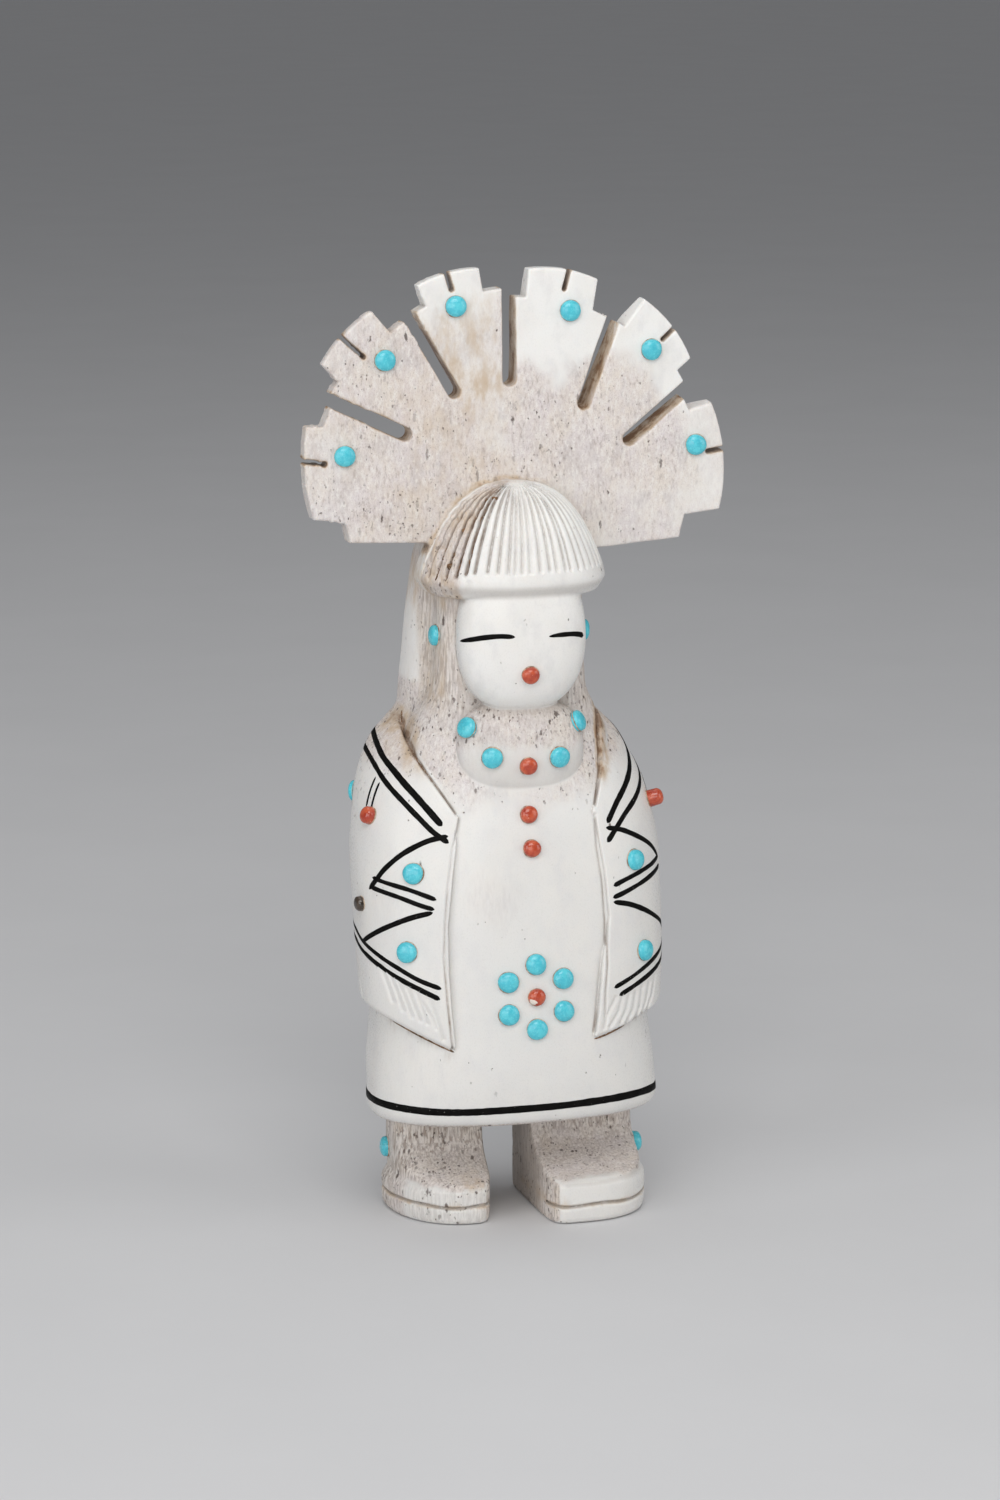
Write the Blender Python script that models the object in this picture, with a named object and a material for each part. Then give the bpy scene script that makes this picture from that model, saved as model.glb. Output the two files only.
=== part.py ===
"""Standing figure carved from one piece of antler, with a stepped fan headdress and set stones.

Metres, +Z up. The figure faces -Y and stands on the ground plane, and the origin is on the
ground under the middle of its bounding box. Left and right are the viewer's, so left is -X.
"Forward" is a distance towards the viewer, against Y.
"""

import math

import bmesh
import bpy
from mathutils import Matrix, Vector
from mathutils.bvhtree import BVHTree

# Overall size. The free forms below are given in hundredths of the height.
HEIGHT = 0.100
U = HEIGHT / 100

# The fan reaches further to the right, so the figure's own middle is this far left
MIDDLE_SHIFT = 0.64

# Real sizes that don't grow with the figure
FAN_HUB_THICKNESS = 0.0042
SLOT_WIDTH = 0.0014
SLIT_WIDTH = 0.0005
FLUTE_DEPTH = 0.0004
SOLE_GROOVE_DEPTH = 0.0004
SETTING_GAP = 0.00006
SOCKET_DEPTH = 0.0009
TURQUOISE_WIDTH = 0.00225
TURQUOISE_RISE = 0.00062
CORAL_WIDTH = 0.00185
CORAL_RISE = 0.00070
BEAD_RISE = 0.0016
JET_WIDTH = 0.0016
JET_RISE = 0.0007

# Level sections of the body, from the hem up to the crown, in hundredths of the height:
# height, half width, reach forward, reach back, how far forward the widest line is
BODY_SECTIONS = (
    (11.75, 14.5, 9.4, 9.3, 1.0),
    (12.15, 15.15, 10.1, 9.9, 1.6),
    (12.9, 15.4, 10.5, 10.2, 2.0),
    (14.2, 15.3, 10.7, 10.4, 1.8),
    (17.0, 15.15, 10.85, 10.4, 0.8),
    (20.0, 14.8, 10.8, 10.3, 0.2),
    (24.0, 14.5, 10.55, 10.2, 0.0),
    (30.0, 14.1, 10.0, 10.0, 0.0),
    (36.0, 13.8, 9.2, 9.8, -0.3),
    (41.0, 13.2, 8.3, 9.6, -0.8),
    (45.0, 12.4, 7.3, 9.4, -1.2),
    (48.5, 11.2, 6.4, 9.2, -1.5),
    (51.0, 10.9, 5.4, 9.0, -1.5),
    (53.0, 10.0, 4.8, 8.8, -1.0),
    (54.5, 9.1, 4.6, 8.8, -0.6),
    (56.0, 8.4, 4.6, 8.7, -0.2),
    (58.0, 8.0, 4.7, 8.6, 0.0),
    (64.0, 7.8, 4.7, 8.2, 0.0),
    (70.0, 7.4, 4.5, 7.0, 0.0),
    (75.0, 5.0, 3.0, 4.0, 0.0),
)
BODY_POWER = 2.45

# Robe over the shoulders, in the same columns
ROBE_SECTIONS = (
    (18.0, 15.4, 11.3, 10.5, 1.5),
    (22.0, 15.9, 11.35, 10.9, 1.4),
    (26.0, 16.15, 11.1, 11.05, 1.2),
    (30.5, 16.35, 10.6, 11.1, 0.4),
    (35.5, 16.5, 9.9, 11.1, -0.6),
    (40.0, 16.4, 9.0, 11.05, -1.7),
    (43.5, 15.85, 8.1, 11.0, -2.9),
    (46.0, 15.3, 7.2, 11.0, -4.2),
    (48.5, 14.25, 5.9, 10.9, -5.6),
    (50.5, 13.2, 4.2, 10.7, -6.2),
    (52.2, 11.6, 2.0, 10.4, -6.6),
    (53.4, 10.4, 0.2, 10.0, -6.6),
    (54.2, 8.9, -1.5, 9.2, -6.6),
)
ROBE_POWER = 2.3
ROBE_TIP = 19.9
ROBE_SIDE = 23.7
ROBE_SIDE_RIGHT = 22.9
ROBE_EDGE_ROUND = 1.2
ROBE_EDGE_TUCK = 0.05
ROBE_CORE = 0.8
# Front opening: height, how far out its left and right edges run
ROBE_OPENING = (
    (16.0, 8.3, 6.5),
    (20.0, 8.4, 6.25),
    (24.0, 8.8, 6.85),
    (28.0, 9.0, 7.4),
    (33.0, 8.9, 8.4),
    (38.0, 8.2, 8.1),
    (44.0, 7.2, 7.2),
    (47.0, 8.6, 8.6),
    (49.0, 9.7, 9.5),
    (51.0, 10.3, 10.2),
    (53.0, 10.7, 10.7),
    (58.0, 10.7, 10.7),
)
OPENING_BACK = 2.5

# Hair that falls behind the head to the shoulders
HAIR_SECTIONS = (
    (50.0, 9.9, 0.0, 10.0, -6.8),
    (54.0, 10.1, 1.4, 10.1, -6.8),
    (60.0, 9.6, 1.6, 10.0, -6.6),
    (66.0, 9.0, 1.6, 9.7, -6.3),
    (71.0, 8.3, 1.5, 9.0, -5.4),
    (74.5, 6.4, 1.2, 7.6, -3.8),
    (77.0, 4.2, 0.6, 5.5, -2.4),
    (78.2, 1.6, 0.2, 3.4, -1.4),
)
HAIR_POWER = 2.3

# Fluted fringe over the brow. The first rows are its plain rim.
FRINGE_SECTIONS = (
    (67.2, 9.1, 8.2, 1.0, 1.2),
    (67.5, 9.6, 8.7, 1.0, 1.2),
    (68.1, 9.8, 9.0, 1.0, 1.2),
    (69.3, 9.7, 9.0, 1.0, 1.2),
    (69.7, 9.6, 8.95, 1.0, 1.2),
    (71.2, 9.2, 8.75, 1.0, 1.2),
    (73.2, 8.3, 8.3, 1.0, 1.2),
    (75.2, 6.9, 7.4, 1.0, 1.4),
    (76.8, 5.0, 6.4, 1.0, 1.6),
    (77.7, 3.2, 5.4, 1.0, 1.8),
    (78.2, 1.6, 4.4, 1.0, 2.0),
)
FRINGE_POWER = 2.15
FRINGE_RIM_ROWS = 4
FLUTES = 26

# Rounded forms: height of the middle, half height, half width, reach forward and back
FACE = (62.6, 8.0, 6.8, 8.75, -1.0)
BIB = (50.9, 5.1, 6.8, 7.5, -1.0)
BLOB_POWER = 2.4
BLOB_LEVELS = (-0.99, -0.9, -0.7, -0.4, 0.0, 0.4, 0.7, 0.9, 0.99)

# Fan headdress. Each lobe ends in a tab with a step on either side. Angles are in degrees
# from straight up and radii in hundredths of the height, both from the hub. Columns: tab's
# angle and radius, then its step's, for where the lobe starts and again for where it ends
HUB_X = 0.3
HUB_Z = 77.0
FAN_FORWARD = 1.0
FAN_LOBES = (
    (-96.2, 21.3, -98.6, 18.0, -71.6, 23.1, -70.1, 21.4),
    (-56.0, 24.4, -57.2, 22.0, -38.2, 24.1, -37.8, 21.2),
    (-25.4, 23.7, -25.7, 21.4, -8.8, 23.3, -8.6, 20.9),
    (4.1, 22.9, 3.9, 20.0, 23.1, 23.4, 25.2, 20.3),
    (36.1, 24.0, 35.8, 20.5, 56.0, 23.25, 56.5, 21.4),
    (68.9, 23.15, 68.2, 20.6, 97.4, 22.7, 100.1, 19.0),
)
TAB_BULGE = 0.2
FAN_GAPS = (-62.5, -32.3, -2.5, 29.5, 62.5)
FAN_CORNERS = (-105.6, 107.5)
FAN_BASE = ((8.0, 70.4), (-7.0, 71.8))

# Thickness of the fan from the hub to the rim, in metres: radius in hundredths of the height
FAN_THICKNESS = ((0.5, 0.0042), (11.0, 0.0034), (18.0, 0.0027), (21.5, 0.0023), (25.5, 0.0009))

# Slots between the lobes: inner end, then the angle of the cut
FAN_SLOTS = (
    (-10.5, 82.9, -64.5),
    (-5.6, 86.8, -30.8),
    (0.0, 87.8, -0.9),
    (7.75, 85.1, 20.0),
    (12.4, 81.4, 50.3),
)
SLOT_LENGTH = 14.0

# Slit in each tab: its angle and how deep it is cut
FAN_SLITS = ((-80.2, 2.2), (-47.9, 3.1), (-17.3, 1.8), (14.9, 2.0), (47.0, 1.7), (81.4, 1.7))

# Feet. Columns: inner side, where the toe reaches furthest, outer side, toe's reach forward,
# height of the toe, how far forward the widest line is, roundness of the inner and outer corner
FEET = (
    (-2.7, -5.3, -12.85, 6.5, 4.3, -3.0, 3.0, 2.15),
    (2.3, 5.5, 14.5, 9.1, 4.8, 0.0, 5.0, 2.5),
)
# Legs over them: inner and outer side, roundness of the outer corner in front
LEGS = ((-2.7, -12.2, 4.0), (2.3, 13.85, 8.0))
LEG_FORWARD = 0.4
HEEL_BACK = 7.0
LEG_TOP = 13.0
HEEL_POWER = 2.8
INNER_WALL_POWER = 12.0
SOLE_THICKNESS = 2.0
SOLE_GROOVE_HEIGHT = 0.35

# Stones: name, kind, side it is set from, then across and up in hundredths of the height.
# Across is X for the front and back, and the distance forward for the sides.
STONES = (
    ("fan_turquoise_1", "turquoise", "front", -17.6, 81.2),
    ("fan_turquoise_2", "turquoise", "front", -13.3, 90.9),
    ("fan_turquoise_3", "turquoise", "front", -5.8, 96.2),
    ("fan_turquoise_4", "turquoise", "front", 6.4, 95.4),
    ("fan_turquoise_5", "turquoise", "front", 15.2, 91.1),
    ("fan_turquoise_6", "turquoise", "front", 20.1, 81.0),
    ("ear_turquoise_left", "turquoise", "left", 0.4, 62.1),
    ("ear_turquoise_right", "turquoise", "right", 1.3, 62.1),
    ("mouth_coral", "coral", "front", 0.0, 58.9),
    ("necklace_turquoise_1", "turquoise", "front", -5.9, 53.2),
    ("necklace_turquoise_2", "turquoise", "front", -3.7, 50.2),
    ("necklace_coral", "coral", "front", 0.1, 49.2),
    ("necklace_turquoise_3", "turquoise", "front", 3.5, 49.9),
    ("necklace_turquoise_4", "turquoise", "front", 5.9, 53.3),
    ("chest_coral_upper", "coral", "front", 0.1, 44.1),
    ("chest_coral_lower", "coral", "front", 0.2, 40.7),
    ("flower_coral", "coral", "front", 0.1, 25.4),
    ("sleeve_turquoise_left_upper", "turquoise", "front", -12.0, 38.4),
    ("sleeve_turquoise_left_lower", "turquoise", "front", -12.9, 30.3),
    ("sleeve_turquoise_right_upper", "turquoise", "front", 11.8, 38.4),
    ("sleeve_turquoise_right_lower", "turquoise", "front", 12.6, 28.9),
    ("shoulder_coral_left", "bead", "left", 1.1, 43.6),
    ("shoulder_coral_right", "bead", "right", 1.1, 43.6),
    ("sleeve_jet_left", "jet", "left", 1.7, 34.4),
    ("sleeve_jet_right", "jet", "right", -1.8, 34.4),
    ("back_turquoise_left_upper", "turquoise", "left", -6.6, 44.6),
    ("back_turquoise_left_lower", "turquoise", "left", -6.8, 35.4),
    ("back_turquoise_right_upper", "turquoise", "right", -6.6, 44.6),
    ("back_turquoise_right_lower", "turquoise", "right", -6.8, 35.4),
    ("leg_turquoise_left", "turquoise", "left", -4.0, 6.3),
    ("leg_turquoise_right", "turquoise", "right", -0.3, 5.8),
)
FLOWER_PETALS = 6
FLOWER_RADIUS = 3.4
STONE_SIDES = 10
SOCKET_CLEAR = 0.0015
SEAT_SAMPLE = 0.0005
FAR = 0.05

# Colours are linear red, green and blue.
FINISHES = {
    "antler": ((0.78, 0.74, 0.68), 0.42),
    "turquoise": ((0.10, 0.62, 0.68), 0.25),
    "coral": ((0.60, 0.09, 0.04), 0.22),
    "jet": ((0.03, 0.022, 0.018), 0.15),
}

# Kind of stone: material, width, rise above the seat, share of the rise that stands straight
STONE_KINDS = {
    "turquoise": ("turquoise", TURQUOISE_WIDTH, TURQUOISE_RISE, 0.45),
    "coral": ("coral", CORAL_WIDTH, CORAL_RISE, 0.40),
    "bead": ("coral", CORAL_WIDTH, BEAD_RISE, 0.55),
    "jet": ("jet", JET_WIDTH, JET_RISE, 0.40),
}


def finish(name):
    """Material with the piece's colour and roughness."""
    found = bpy.data.materials.get(name)
    if found:
        return found
    colour, roughness = FINISHES[name]
    made = bpy.data.materials.new(name)
    made.use_nodes = True
    shader = made.node_tree.nodes["Principled BSDF"]
    shader.inputs["Base Color"].default_value = (*colour, 1)
    shader.inputs["Roughness"].default_value = roughness
    shader.inputs["Metallic"].default_value = 0
    return made


def add_object(name, mesh, parent=None):
    made = bpy.data.objects.new(name, mesh)
    bpy.context.scene.collection.objects.link(made)
    made.parent = parent
    return made


def as_guide(piece):
    """A shape that only cuts or joins another one, so it isn't a piece itself."""
    piece.hide_render = True
    piece.display_type = "WIRE"
    return piece


def mesh_from(name, form):
    bmesh.ops.recalc_face_normals(form, faces=form.faces)
    mesh = bpy.data.meshes.new(name)
    form.to_mesh(mesh)
    form.free()
    return mesh


def loft(name, rings):
    """Closed solid through rings of equal count, with a flat cap on the first and last."""
    form = bmesh.new()
    rows = [[form.verts.new(point) for point in ring] for ring in rings]
    count = len(rows[0])
    for low, high in zip(rows, rows[1:]):
        for i in range(count):
            j = (i + 1) % count
            form.faces.new((low[i], low[j], high[j], high[i]))
    form.faces.new(rows[0])
    form.faces.new(rows[-1])
    return mesh_from(name, form)


def section_at(table, height):
    """The columns of a section table at a height, on a smooth curve through its rows."""
    last = len(table) - 2
    k = max(i for i in range(last + 1) if i == 0 or table[i][0] <= height)
    start, end = table[k], table[k + 1]
    before, after = table[max(k - 1, 0)], table[min(k + 2, last + 1)]
    span = end[0] - start[0]
    t = min(max((height - start[0]) / span, 0.0), 1.0)
    values = []
    for c in range(1, len(start)):
        leave = (end[c] - before[c]) / (end[0] - before[0]) * span
        arrive = (after[c] - start[c]) / (after[0] - start[0]) * span
        values.append(
            start[c] * (2 * t**3 - 3 * t**2 + 1)
            + leave * (t**3 - 2 * t**2 + t)
            + end[c] * (3 * t**2 - 2 * t**3)
            + arrive * (t**3 - t**2)
        )
    return values


def signed_power(value, power):
    return math.copysign(abs(value) ** power, value)


def section_point(columns, power, turn, scale=1.0):
    """Point (x, y) of a rounded section, turning from the front (0) towards +X."""
    half_width, front, back, widest = columns
    across = signed_power(math.sin(turn), 2 / power) * half_width
    along = signed_power(math.cos(turn), 2 / power)
    reach = front - widest if along > 0 else back + widest
    return across * scale, -(widest + along * reach * scale)


def full_turn(count):
    return [2 * math.pi * i / count for i in range(count)]


def oval_ring(columns, height, power, count):
    return [
        Vector((*section_point(columns, power, turn), height)) * U
        for turn in full_turn(count)
    ]


def sections_mesh(name, table, power, count):
    return loft(name, [oval_ring(row[1:], row[0], power, count) for row in table])


def blob_mesh(name, form, count):
    """Rounded form that is widest at its middle height, such as the face."""
    middle, half_height, half_width, front, back = form
    depth = (front + back) / 2
    widest = (front - back) / 2
    rings = []
    for level in BLOB_LEVELS:
        share = (1 - abs(level) ** BLOB_POWER) ** (1 / BLOB_POWER)
        columns = (
            half_width * share,
            widest + depth * share,
            depth * share - widest,
            widest,
        )
        height = middle + level * half_height
        rings.append(oval_ring(columns, height, BLOB_POWER, count))
    return loft(name, rings)


def robe_low(turn):
    """Height of the robe's lower edge: two points in front, higher round the sides."""
    side = ROBE_SIDE_RIGHT if math.sin(turn) > 0 else ROBE_SIDE
    widest = section_at(ROBE_SECTIONS, side)[0]
    across = abs(section_point((widest, 1, 1, 0), ROBE_POWER, turn)[0])
    edge = ROBE_OPENING[1][1]
    if math.cos(turn) < 0:
        return ROBE_SIDE + (side - ROBE_SIDE) * across / widest
    return ROBE_TIP + (side - ROBE_TIP) * max(across - edge, 0) / (widest - edge)


def robe_mesh(count):
    """The robe as a thick solid. Its underside runs in to a core hidden in the body."""
    top = ROBE_SECTIONS[-1][0]
    middle_rows = [row[0] for row in ROBE_SECTIONS if row[0] > ROBE_SIDE + ROBE_EDGE_ROUND]
    first = middle_rows[0]
    rings = []
    for scale in (ROBE_CORE, 1 - ROBE_EDGE_TUCK):
        ring = []
        for turn in full_turn(count):
            height = robe_low(turn)
            columns = section_at(ROBE_SECTIONS, height)
            ring.append(Vector((*section_point(columns, ROBE_POWER, turn, scale), height)) * U)
        rings.append(ring)
    for rise in (ROBE_EDGE_ROUND * 0.35, ROBE_EDGE_ROUND):
        tuck = ROBE_EDGE_TUCK * (1 - rise / ROBE_EDGE_ROUND) ** 2
        ring = []
        for turn in full_turn(count):
            low = robe_low(turn)
            height = low + rise * (first - low) / (first - ROBE_TIP)
            columns = section_at(ROBE_SECTIONS, height)
            ring.append(Vector((*section_point(columns, ROBE_POWER, turn, 1 - tuck), height)) * U)
        rings.append(ring)
    for height in middle_rows:
        if height <= top:
            rings.append(oval_ring(section_at(ROBE_SECTIONS, height), height, ROBE_POWER, count))
    return loft("robe", rings)


def opening_mesh():
    """Cutter for the robe's front opening and collar, seen from the front."""
    right = [(right, z) for z, left, right in ROBE_OPENING]
    left = [(-left, z) for z, left, right in reversed(ROBE_OPENING)]
    rings = []
    for y in (-FAR / U, OPENING_BACK):
        rings.append([Vector((x, y, z)) * U for x, z in right + left])
    return loft("robe_opening", rings)


def fringe_ring(row, fluted):
    """Section of the fringe: ridges and grooves round the front, plain behind."""
    height, *columns = row
    ring = []
    steps = 2 * FLUTES
    for i in range(steps + 1):
        turn = -math.pi / 2 + math.pi * i / steps
        x, y = section_point(columns, FRINGE_POWER, turn)
        point = Vector((x, y, height)) * U
        if fluted and i % 2:
            middle = Vector((0, -columns[3] * U, point.z))
            inward = (middle - point).normalized()
            point += inward * min(FLUTE_DEPTH, (middle - point).length / 4)
        ring.append(point)
    for turn in (0.7 * math.pi, math.pi, 1.3 * math.pi):
        ring.append(Vector((*section_point(columns, FRINGE_POWER, turn), height)) * U)
    return ring


def fringe_mesh():
    rings = [
        fringe_ring(row, i >= FRINGE_RIM_ROWS) for i, row in enumerate(FRINGE_SECTIONS)
    ]
    return loft("fringe", rings)


def hub_point(angle, radius):
    """Point (x, z) at an angle from straight up, round the fan's hub."""
    turn = math.radians(angle)
    return HUB_X + radius * math.sin(turn), HUB_Z + radius * math.cos(turn)


def tab_tip(lobe):
    """Radius of a tab's rounded end, midway along it."""
    return (lobe[1] + lobe[5]) / 2 + TAB_BULGE


def fan_outline():
    """Stepped outline, clockwise from the lower left, in hundredths of the height."""
    points = []
    edges = (FAN_CORNERS[0], *FAN_GAPS, FAN_CORNERS[1])
    for lobe, left, right in zip(FAN_LOBES, edges, edges[1:]):
        start, tip_start, step_in, step_start, end, tip_end, step_out, step_end = lobe
        points += [
            hub_point(left, step_start),
            hub_point(step_in, step_start),
            hub_point(start, tip_start),
            hub_point((start + end) / 2, tab_tip(lobe)),
            hub_point(end, tip_end),
            hub_point(step_out, step_end),
            hub_point(right, step_end),
        ]
    return points + list(FAN_BASE)


def fan_blank():
    """The outline cut through a slab as thick as the hub."""
    front = -FAN_FORWARD * U
    ys = (front, front + FAN_HUB_THICKNESS)
    rings = [[Vector((x * U, y, z * U)) for x, z in fan_outline()] for y in ys]
    return loft("fan", rings)


def fan_lens(count):
    """Turned guide that leaves the front flat and thins the back towards the rim."""
    front = -FAN_FORWARD * U
    centre = Vector((HUB_X * U, 0, HUB_Z * U))
    rim = FAN_THICKNESS[-1][0] * U
    levels = [(rim, front - FAN_HUB_THICKNESS)]
    levels += [(radius * U, front + thick) for radius, thick in reversed(FAN_THICKNESS)]
    rings = []
    for radius, y in levels:
        ring = []
        for turn in full_turn(count):
            ring.append(centre + Vector((radius * math.sin(turn), y, radius * math.cos(turn))))
        rings.append(ring)
    return loft("fan_lens", rings)


def bar_mesh(form, start, angle, length, width, round_end):
    """Adds a bar through the fan, from start outwards at an angle, to a cutter's form."""
    turn = math.radians(angle)
    along = Vector((math.sin(turn), 0, math.cos(turn)))
    side = Vector((math.cos(turn), 0, -math.sin(turn)))
    half = width / 2
    outline = [start + side * half + along * length, start + side * half]
    if round_end:
        for i in range(1, 6):
            bend = math.pi * i / 6
            outline.append(start + (side * math.cos(bend) - along * math.sin(bend)) * half)
    outline += [start - side * half, start - side * half + along * length]
    depth = Vector((0, FAR, 0))
    near = [form.verts.new(point - depth) for point in outline]
    far = [form.verts.new(point + depth) for point in outline]
    for i in range(len(outline)):
        j = (i + 1) % len(outline)
        form.faces.new((near[i], near[j], far[j], far[i]))
    form.faces.new(near)
    form.faces.new(far)


def fan_cuts():
    """Cutter for the slots between the lobes and the slit in each tab."""
    form = bmesh.new()
    for x, z, angle in FAN_SLOTS:
        start = Vector((x, 0, z)) * U
        turn = math.radians(angle)
        start += Vector((math.sin(turn), 0, math.cos(turn))) * SLOT_WIDTH / 2
        bar_mesh(form, start, angle, SLOT_LENGTH * U, SLOT_WIDTH, True)
    for lobe, (angle, depth) in zip(FAN_LOBES, FAN_SLITS):
        x, z = hub_point(angle, tab_tip(lobe) - depth)
        bar_mesh(form, Vector((x, 0, z)) * U, angle, 2 * depth * U, SLIT_WIDTH, False)
    return mesh_from("fan_cuts", form)


def foot_levels(top):
    """Rows of a foot and leg: height, how much its front and its sides are foot and not leg, how
    far it tucks in, and whether the sole's groove is there. top is the toe's height."""
    sole = SOLE_THICKNESS
    groove = SOLE_GROOVE_HEIGHT
    return (
        (0.0, 1.0, 1.0, 0.5, False),
        (0.6, 1.0, 1.0, 0.08, False),
        (sole - groove / 2, 1.0, 1.0, 0.0, False),
        (sole - groove / 4, 1.0, 1.0, 0.0, True),
        (sole + groove / 4, 1.0, 1.0, 0.0, True),
        (sole + groove / 2, 1.0, 1.0, 0.0, False),
        (top - 1.1, 1.0, 1.0, 0.0, False),
        (top - 0.4, 0.99, 0.5, 0.05, False),
        (top, 0.93, 0.18, 0.12, False),
        (top + 0.9, 0.49, 0.0, 0.0, False),
        (top + 2.2, 0.15, 0.0, 0.0, False),
        (top + 3.4, 0.03, 0.0, 0.0, False),
        (LEG_TOP, 0.0, 0.0, 0.0, False),
    )


def between(leg, foot, share):
    return leg + (foot - leg) * share


def foot_mesh(foot, leg, count):
    """One leg with its foot, standing on a flat sole."""
    inner, peak, outer, toe, toe_height, widest, inner_power, outer_power = foot
    leg_inner, leg_outer, leg_power = leg
    side = math.copysign(1, outer)
    leg_middle = (abs(leg_inner) + abs(leg_outer)) / 2
    leg_widest = (LEG_FORWARD - HEEL_BACK) / 2
    rings = []
    for height, share, spread, tuck, grooved in foot_levels(toe_height):
        low = between(abs(leg_inner), abs(inner), spread) + 0.3 * tuck
        high = between(abs(leg_outer), abs(outer), spread) - tuck
        centre = between(leg_middle, abs(peak), share)
        front = between(LEG_FORWARD, toe, share) - tuck
        line = between(leg_widest, widest, share)
        ring = []
        for turn in full_turn(count):
            outward, ahead = math.sin(turn) > 0, math.cos(turn) > 0
            if outward:
                power = between(leg_power, outer_power, share) if ahead else HEEL_POWER
            else:
                power = between(INNER_WALL_POWER, inner_power, share) if ahead else INNER_WALL_POWER
            x = signed_power(math.sin(turn), 2 / power)
            y = signed_power(math.cos(turn), 2 / power)
            across = centre + x * (high - centre if outward else centre - low)
            along = line + y * (front - line if ahead else HEEL_BACK + line)
            point = Vector((side * across, -along, height)) * U
            if grooved and y > -0.2 and x > -0.98:
                point -= Vector((side * x, -y, 0)).normalized() * SOLE_GROOVE_DEPTH
            ring.append(point)
        rings.append(ring)
    return loft("foot", rings)


def boolean(piece, operation, other):
    step = piece.modifiers.new(f"{operation.lower()}_{other.name}", "BOOLEAN")
    step.operation = operation
    step.solver = "EXACT"
    step.object = other


def build_fan(parent):
    fan = as_guide(add_object("fan", fan_blank(), parent))
    lens = as_guide(add_object("fan_lens", fan_lens(32), parent))
    cuts = as_guide(add_object("fan_cuts", fan_cuts(), parent))
    boolean(fan, "INTERSECT", lens)
    boolean(fan, "DIFFERENCE", cuts)
    return fan


def build_robe(parent):
    robe = as_guide(add_object("robe", robe_mesh(36), parent))
    opening = as_guide(add_object("robe_opening", opening_mesh(), parent))
    boolean(robe, "DIFFERENCE", opening)
    return robe


def build_carving(parent):
    """The one piece of antler: body and head, with everything carved on it joined."""
    body = sections_mesh("antler_carving", BODY_SECTIONS, BODY_POWER, 32)
    carving = add_object("antler_carving", body, parent)
    joined = [build_robe(parent)]
    for name, mesh in (
        ("hair", sections_mesh("hair", HAIR_SECTIONS, HAIR_POWER, 24)),
        ("face", blob_mesh("face", FACE, 24)),
        ("bib", blob_mesh("bib", BIB, 20)),
        ("fringe", fringe_mesh()),
        ("foot_left", foot_mesh(FEET[0], LEGS[0], 20)),
        ("foot_right", foot_mesh(FEET[1], LEGS[1], 20)),
    ):
        joined.append(as_guide(add_object(name, mesh, parent)))
    joined.append(build_fan(parent))
    for piece in joined:
        boolean(carving, "UNION", piece)
    carving.data.materials.append(finish("antler"))
    return carving


def all_stones():
    """The stones by name, with the petals of the flower worked out round its middle."""
    stones = list(STONES)
    centre = next(stone for stone in STONES if stone[0] == "flower_coral")
    for i in range(FLOWER_PETALS):
        turn = 2 * math.pi * i / FLOWER_PETALS
        x = centre[3] + FLOWER_RADIUS * math.sin(turn)
        z = centre[4] + FLOWER_RADIUS * math.cos(turn)
        stones.append((f"flower_turquoise_{i + 1}", "turquoise", "front", x, z))
    return stones


def seat_of(surface, side, across, up):
    """Where a stone sits: the point on the carving and the way it faces."""
    look = {
        "front": Vector((0, 1, 0)),
        "back": Vector((0, -1, 0)),
        "left": Vector((1, 0, 0)),
        "right": Vector((-1, 0, 0)),
    }[side]
    if side in ("front", "back"):
        start = Vector((across * U, 0, up * U))
        step = Vector((1, 0, 0))
    else:
        start = Vector((0, -across * U, up * U))
        step = Vector((0, 1, 0))
    start -= look * 2 * FAR
    hits = []
    for move in (step, -step, Vector((0, 0, 1)), Vector((0, 0, -1))):
        hits.append(surface.ray_cast(start + move * SEAT_SAMPLE, look)[0])
    point = surface.ray_cast(start, look)[0]
    facing = (hits[0] - hits[1]).cross(hits[2] - hits[3]).normalized()
    if facing.dot(look) > 0:
        facing = -facing
    return point, facing


def stone_mesh(kind):
    """Low polished dome on a straight peg, with the seat's level at zero."""
    material, width, rise, straight = STONE_KINDS[kind]
    radius = width / 2
    shoulder = rise * straight
    profile = (
        (radius, -SOCKET_DEPTH),
        (radius, shoulder),
        (radius * 0.72, shoulder + (rise - shoulder) * 0.72),
        (radius * 0.3, rise),
    )
    rings = []
    for r, z in profile:
        rings.append(
            [Vector((r * math.cos(turn), r * math.sin(turn), z)) for turn in full_turn(STONE_SIDES)]
        )
    mesh = loft(f"{kind}_stone", rings)
    mesh.shade_smooth()
    mesh.set_sharp_from_angle(angle=math.radians(40))
    mesh.materials.append(finish(material))
    return mesh


def set_stones(carving, parent):
    """Drills the sockets in the carving and sets a stone in each."""
    bpy.context.view_layer.update()
    surface = BVHTree.FromObject(carving, bpy.context.evaluated_depsgraph_get())
    meshes = {kind: stone_mesh(kind) for kind in STONE_KINDS}
    drill = bmesh.new()
    for name, kind, side, across, up in all_stones():
        point, facing = seat_of(surface, side, across, up)
        turn = facing.to_track_quat("Z", "Y")
        stone = add_object(name, meshes[kind], parent)
        stone.location = point
        stone.rotation_mode = "QUATERNION"
        stone.rotation_quaternion = turn
        depth = SOCKET_DEPTH + SETTING_GAP + SOCKET_CLEAR
        middle = point + facing * (SOCKET_CLEAR - depth / 2)
        radius = STONE_KINDS[kind][1] / 2 + SETTING_GAP
        placed = Matrix.LocRotScale(middle, turn, None)
        bmesh.ops.create_cone(
            drill,
            cap_ends=True,
            segments=STONE_SIDES,
            radius1=radius,
            radius2=radius,
            depth=depth,
            matrix=placed @ Matrix.Rotation(math.pi / 2, 4, "Z"),
        )
    sockets = as_guide(add_object("sockets", mesh_from("sockets", drill), parent))
    boolean(carving, "DIFFERENCE", sockets)


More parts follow.
